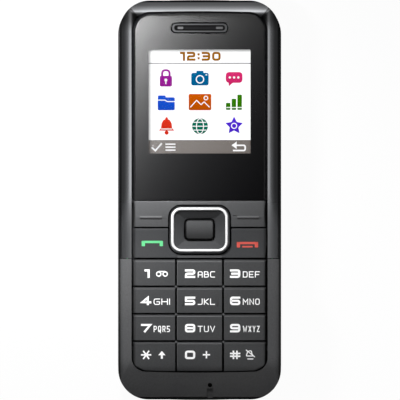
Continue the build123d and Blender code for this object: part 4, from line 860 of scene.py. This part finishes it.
# the earpiece: a black line round its rim, and a pale stop at each end of its slot
earpiece = dict(lines=[(15.15, 2.6, 1.3, 0.34), (13.4, 1.2, 0.6, 0.3)], lineLift=0.002, stopLift=0.01,
                stops={"left": (-5.15, 1.5), "right": (5.35, 1.8)}, stopTall=0.62, stopRadius=0.12,
                stopThick=0.1)
trimLow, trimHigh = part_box("earpiece_trim")
middle = (trimLow + trimHigh) / (2 * mm)
drawing = bmesh.new()
for wide, tall, radius, stroke in earpiece["lines"]:
    addLoop(drawing, softBox(middle.x, middle.y, wide, tall, radius), stroke)
finishDrawing("earpiece_lines", drawing, materials["trim_line"], "phone",
              level=trimHigh.z + earpiece["lineLift"] * mm)
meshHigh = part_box("earpiece_mesh")[1]
for name, (x, wide) in earpiece["stops"].items():
    drawing = bmesh.new()
    addPlate(drawing, softBox(middle.x + x, middle.y, wide, earpiece["stopTall"], earpiece["stopRadius"]))
    finishDrawing("earpiece_stop_" + name, drawing, materials["trim_pale"], "phone",
                  level=meshHigh.z + earpiece["stopLift"] * mm, thick=earpiece["stopThick"])
print("legends drawn")


# what the display shows; a glow is paler at its top than at its foot by fade
def makeGlow(name, colour, fade):
    material, tree, shader = startMaterial("glow_" + name, dict(base=black, bright=1.0, specular=0.0))
    top = tuple(min(1.0, part * (1 + fade)) for part in colour)
    foot = tuple(part * (1 - fade) for part in colour)
    glow = blendColours(tree, spotOf(tree, "Generated")["Y"], (*foot, 1), (*top, 1))
    wire(tree, glow, shader.inputs["Emission Color"])
    return material


def starPoints(tips, outer, inner, radius):
    path = []
    for step in range(2 * tips):
        turn = math.pi / 2 + step * math.pi / tips
        reach = inner if step % 2 else outer
        path.append((Vector((reach * math.cos(turn), reach * math.sin(turn))), 1.0))
    return [tuple(point) for point in roundedPath(path, radius, True)]


# each picture: its glow colour, its middle, and round that middle its coloured and its white shapes. A box
# has its middle, width, height and corner radius, a disc its middle, radius and number of points, a ring its
# stroke and then a disc's sizes, and a line its points, stroke and corner radius.
pictures = {
    "lock": dict(
        colour=(0.34, 0.012, 0.32), x=-9.1, y=32.8,
        fill=[("box", 0, -0.75, 3.3, 2.9, 0.5),
              ("line", [(-1.0, 0.4), (-1.0, 2.2), (1.0, 2.2), (1.0, 0.4)], 0.55, 0.9)],
        line=[("disc", 0, -0.45, 0.42, 16), ("line", [(0, -0.5), (0, -1.5)], 0.32)]),
    "camera": dict(
        colour=(0.0, 0.12, 0.30), x=0.1, y=32.8,
        fill=[("box", 0, -0.2, 4.7, 3.4, 0.6), ("box", 0, 1.6, 1.9, 0.9, 0.25)],
        line=[("ring", 0.3, 0, -0.25, 1.0), ("line", [(1.5, 0.95), (1.95, 0.95)], 0.3)]),
    "talk": dict(
        colour=(0.66, 0.022, 0.15), x=9.3, y=32.7,
        fill=[("box", 0, 0.35, 4.5, 2.9, 1.0), ("plate", [(-1.5, -0.9), (-0.1, -0.9), (-1.4, -2.0)])],
        line=[("disc", x, 0.35, 0.32, 14) for x in (-1.15, 0.0, 1.15)]),
    "folder": dict(
        colour=(0.008, 0.08, 0.62), x=-9.0, y=26.2,
        fill=[("box", 0, -0.25, 4.6, 3.5, 0.4), ("box", -1.2, 1.5, 2.1, 1.0, 0.3)],
        line=[("line", [(-2.3, 0.75), (-0.3, 0.75), (0.2, 0.35), (2.3, 0.35)], 0.26, 0.2)]),
    "landscape": dict(
        colour=(0.56, 0.09, 0.0), x=0.1, y=26.4, fill=[("box", 0, 0, 6.1, 4.4, 0.45)],
        line=[("line", [(-2.6, -1.4), (-0.9, 0.5), (0.3, -0.7), (1.1, 0.1), (2.6, -1.4)], 0.26, 0.15),
              ("ring", 0.26, 1.6, 1.1, 0.5, 18)]),
    "bars": dict(
        colour=(0.03, 0.19, 0.0), x=9.3, y=26.3,
        fill=[("box", x, tall / 2 - 2.0, 1.2, tall, 0.25)
              for x, tall in ((-1.6, 1.9), (-0.05, 3.0), (1.5, 4.1))],
        line=[("line", [(-2.1, -1.35), (2.1, -1.35)], 0.24)]),
    "bell": dict(
        colour=(0.72, 0.032, 0.012), x=-8.9, y=19.9,
        fill=[("plate", [(-2.1, -1.2), (-1.5, -0.5), (-1.35, 0.8), (-0.9, 1.6), (-0.3, 1.95), (0.3, 1.95),
                         (0.9, 1.6), (1.35, 0.8), (1.5, -0.5), (2.1, -1.2)]),
              ("disc", 0, -1.75, 0.55, 16), ("disc", 0, 2.1, 0.35, 14)],
        line=[("line", [(-1.5, -0.75), (1.5, -0.75)], 0.26)]),
    "globe": dict(
        colour=(0.0, 0.14, 0.085), x=0.1, y=19.9, fill=[("disc", 0, 0, 2.15, 32)],
        line=[("ring", 0.24, 0, 0, 0.95, 28, 2.0)]
             + [("line", [(-half, y), (half, y)], 0.24)
                for y, half in ((0, 2.1), (1.05, 1.75), (-1.05, 1.75))]),
    "star": dict(
        colour=(0.08, 0.017, 0.64), x=9.3, y=20.0, fill=[("plate", starPoints(5, 2.5, 1.25, 0.25))],
        line=[("ring", 0.26, 0, 0, 0.7, 18)]),
}


def addShapes(mesh, shapes):
    for kind, *sizes in shapes:
        if kind == "line":
            addLine(mesh, *sizes)
        elif kind == "ring":
            addLoop(mesh, disc(*sizes[1:]), sizes[0])
        else:
            addPlate(mesh, {"box": softBox, "disc": disc, "plate": list}[kind](*sizes))


def finishGlow(name, mesh, glow, lift):
    finishDrawing(name, mesh, glow, "phone", level=panelHigh.z + lift * mm)


glowWhite = makeGlow("white", (1.0, 1.0, 1.0), 0.0)
glowLook = dict(fade=0.12, fillLift=0.02, lineLift=0.07, signLift=0.03)
for name, picture in pictures.items():
    glow = makeGlow(name, picture["colour"], glowLook["fade"])
    for layer, label, ink in (("fill", "picture_", glow), ("line", "picture_lines_", glowWhite)):
        drawing = bmesh.new()
        addShapes(drawing, picture[layer])
        for vertex in drawing.verts:
            vertex.co += Vector((picture["x"], picture["y"], 0.0))
        finishGlow(label + name, drawing, ink, glowLook[layer + "Lift"])

clock = dict(colour=(0.34, 0.13, 0.002), text="12:30", left=-5.3, foot=37.55, tall=2.4, wide=2.3, gap=0.5,
             stroke=0.6, corner=0.25, narrow={"1": 0.6, ":": 0.3}, dots=(0.28, 0.72), dotRadius=0.1)
drawing = bmesh.new()
left, stroke = clock["left"], clock["stroke"]
for letter in clock["text"]:
    wide = clock["wide"] * clock["narrow"].get(letter, 1)
    if letter == ":":
        for share in clock["dots"]:
            addPlate(drawing, softBox(left + wide / 2, clock["foot"] + share * clock["tall"], stroke, stroke,
                                      clock["dotRadius"]))
    else:
        addGlyph(drawing, letter, left, clock["foot"], wide, clock["tall"], stroke, clock["corner"])
    left += wide + clock["gap"]
finishGlow("clock_digits", drawing, makeGlow("clock", clock["colour"], 0.0), glowLook["signLift"])

# a tick and a list at the left of the bar, and an arrow back at its right
barSigns = [("line", [(-12.9, 14.2), (-11.95, 13.3), (-10.2, 15.3)], 0.42),
            ("line", [(-9.2, 13.45), (-6.5, 13.45)], 0.36), ("line", [(-9.2, 14.25), (-6.5, 14.25)], 0.36),
            ("line", [(-9.2, 15.05), (-6.5, 15.05)], 0.36),
            ("line", [(9.7, 14.75), (12.3, 14.75), (12.3, 13.35), (9.0, 13.35)], 0.42, 0.5),
            ("plate", [(10.0, 15.75), (10.0, 13.75), (8.6, 14.75)])]
drawing = bmesh.new()
addShapes(drawing, barSigns)
finishGlow("bar_signs", drawing, glowWhite, glowLook["signLift"])
print("display drawn")


# the camera, straight above the face
view = dict(lens=1000.0, sensor=36.0, seen=108.0, x=0.108, y=0.0, level=9.0, nearest=0.05, farthest=20.0)
eye = bpy.data.cameras.new("eye")
eye.lens, eye.sensor_width = view["lens"], view["sensor"]
eyeObject = addObject("eye", eye)
distance = view["lens"] / view["sensor"] * view["seen"]
eyeObject.location = (view["x"] * mm, view["y"] * mm, (view["level"] + distance) * mm)
eye.clip_start, eye.clip_end = view["nearest"], view["farthest"]
scene.camera = eyeObject


# floor, lamps, and what shines in the glossy faces; their sizes are in metres
def makeStageMaterial(name):
    material = bpy.data.materials.new(name)
    material.use_nodes = True
    tree = material.node_tree
    tree.nodes.clear()
    return material, tree, put(tree, "OutputMaterial").inputs["Surface"]


def addSheet(name, wide, tall, centre, material):
    x, y, z = centre
    data = bpy.data.meshes.new(name)
    data.from_pydata([(x - wide / 2, y - tall / 2, z), (x + wide / 2, y - tall / 2, z),
                      (x + wide / 2, y + tall / 2, z), (x - wide / 2, y + tall / 2, z)], [], [(0, 1, 2, 3)])
    data.materials.append(material)
    sheet = addObject(name, data)
    return sheet


floorLook = dict(size=4.0, level=-0.00015, colour=(0.9, 0.9, 0.9, 1), white=0.965, mirrored=0.06)


def makeFloor(look):
    material, tree, surface = makeStageMaterial("floor_white")
    rays = put(tree, "LightPath").outputs
    matte = put(tree, "BsdfDiffuse", {"Color": look["colour"]})
    strength = sums(tree, "MULTIPLY_ADD", rays["Is Glossy Ray"], look["mirrored"] - 1.0, 1.0)
    glow = put(tree, "Emission", {"Strength": strength})
    seen = sums(tree, "MAXIMUM", rays["Is Camera Ray"], rays["Is Transmission Ray"])
    seen = sums(tree, "MAXIMUM", seen, rays["Is Glossy Ray"])
    lit = mixShaders(tree, times(tree, seen, look["white"]), matte.outputs[0], glow.outputs[0])
    behind = put(tree, "NewGeometry").outputs["Backfacing"]
    passed = sums(tree, "MAXIMUM", behind, rays["Is Shadow Ray"])
    clear = put(tree, "BsdfTransparent")
    wire(tree, mixShaders(tree, passed, lit, clear.outputs[0]), surface)
    return material


addSheet("floor", floorLook["size"], floorLook["size"], (0, 0, floorLook["level"]), makeFloor(floorLook))

# a soft card close over the face, seen only in the gloss: bright at its upper left
cardLook = dict(left=-0.022, right=0.022, foot=-0.03, top=0.0545, level=0.30, start=(-0.0186, 0.0475),
                fadeX=79.0, fadeY=53.0, bright=10.6, most=1.25)


def makeCard(look):
    material, tree, surface = makeStageMaterial("card_soft")
    spot = spotOf(tree)
    startX, startY = look["start"]
    across = times(tree, sums(tree, "SUBTRACT", spot["X"], startX), -look["fadeX"])
    along = sums(tree, "MULTIPLY_ADD", sums(tree, "SUBTRACT", spot["Y"], startY), look["fadeY"], across)
    fade = sums(tree, "MINIMUM", sums(tree, "EXPONENT", along), look["most"])
    glow = put(tree, "Emission", {"Color": fade, "Strength": look["bright"]})
    clear = put(tree, "BsdfTransparent")
    rays = put(tree, "LightPath").outputs
    wire(tree, mixShaders(tree, rays["Is Glossy Ray"], clear.outputs[0], glow.outputs[0]), surface)
    return material


card = addSheet("card", cardLook["right"] - cardLook["left"], cardLook["top"] - cardLook["foot"],
                ((cardLook["left"] + cardLook["right"]) / 2, (cardLook["foot"] + cardLook["top"]) / 2,
                 cardLook["level"]), makeCard(cardLook))
card.visible_camera = card.visible_diffuse = card.visible_shadow = card.visible_transmission = False
shinyOnes = bpy.data.collections.new("shinyOnes")      # the card shines in the lens alone
shinyOnes.objects.link(nodes["display_lens"])
card.light_linking.receiver_collection = shinyOnes

# the low lamp passes over the lens and the upper frame, and everything else stands in its way
shadowOnes = bpy.data.collections.new("shadowOnes")
for piece in list(scene.objects):
    if piece.type == "MESH" and piece.name not in ("front_frame_upper", "display_lens"):
        shadowOnes.objects.link(piece)

lamps = {
    "key": dict(at=(-0.032, 0.048, 0.058), aim=(-0.05, 0.0, 0.013), size=0.02, power=0.222),
    "fill": dict(at=(0.085, -0.03, 0.05), aim=(0.015, -0.025, 0.01), size=0.05, power=0.024),
    "under": dict(at=(0.05, -0.05, -0.5), aim=(0, 0, 0), size=0.4, power=1.2),
}
for name, lamp in lamps.items():
    data = bpy.data.lights.new(name, "AREA")
    data.size, data.energy = lamp["size"], lamp["power"]
    light = addObject(name, data)
    light.location = lamp["at"]
    light.rotation_euler = (Vector(lamp["aim"]) - Vector(lamp["at"])).to_track_quat("-Z", "Y").to_euler()
    light.visible_glossy = light.visible_camera = False
    if name == "key":
        light.light_linking.blocker_collection = shadowOnes

# the room: white where it is seen, and in the gloss a dark horizon under a bright ceiling
roomLook = dict(plain=0.035, above=2.1, right=0.42, rightFrom=0.3, rightTo=0.5, shine=2.4,
                rings=((0.0, 0.10), (0.36, 0.13), (0.53, 0.15), (0.61, 0.18), (0.68, 0.27), (0.74, 0.40),
                       (0.80, 0.54), (0.845, 0.87), (0.887, 2.5), (0.92, 1.2), (0.955, 0.15), (1.0, 0.05)))


def makeRoom(look):
    world = bpy.data.worlds.new("room")
    scene.world = world
    world.use_nodes = True
    tree = world.node_tree
    tree.nodes.clear()
    out = put(tree, "OutputWorld")
    rays = put(tree, "LightPath").outputs
    spot = spotOf(tree, "Generated")
    above = sums(tree, "MULTIPLY_ADD", sums(tree, "MAXIMUM", spot["Y"], 0.0), look["above"], 1.0)
    aside = rise(tree, spot["X"], look["rightFrom"], look["rightTo"], 1.0, 1.0 - look["right"])
    strength = times(tree, above, aside, look["shine"])
    shine, plain, white = (
        put(tree, "Background", {"Color": colour, "Strength": power}).outputs[0]
        for colour, power in ((greyRamp(tree, spot["Z"], look["rings"]), strength),
                              ((1, 1, 1, 1), look["plain"]), ((1, 1, 1, 1), 1.0)))
    glossy = mixShaders(tree, rays["Is Glossy Ray"], plain, shine)
    seen = sums(tree, "MAXIMUM", rays["Is Camera Ray"], rays["Is Transmission Ray"])
    wire(tree, mixShaders(tree, seen, glossy, white), out.inputs["Surface"])


makeRoom(roomLook)
scene.view_settings.view_transform = "Standard"
print("camera and lights set")
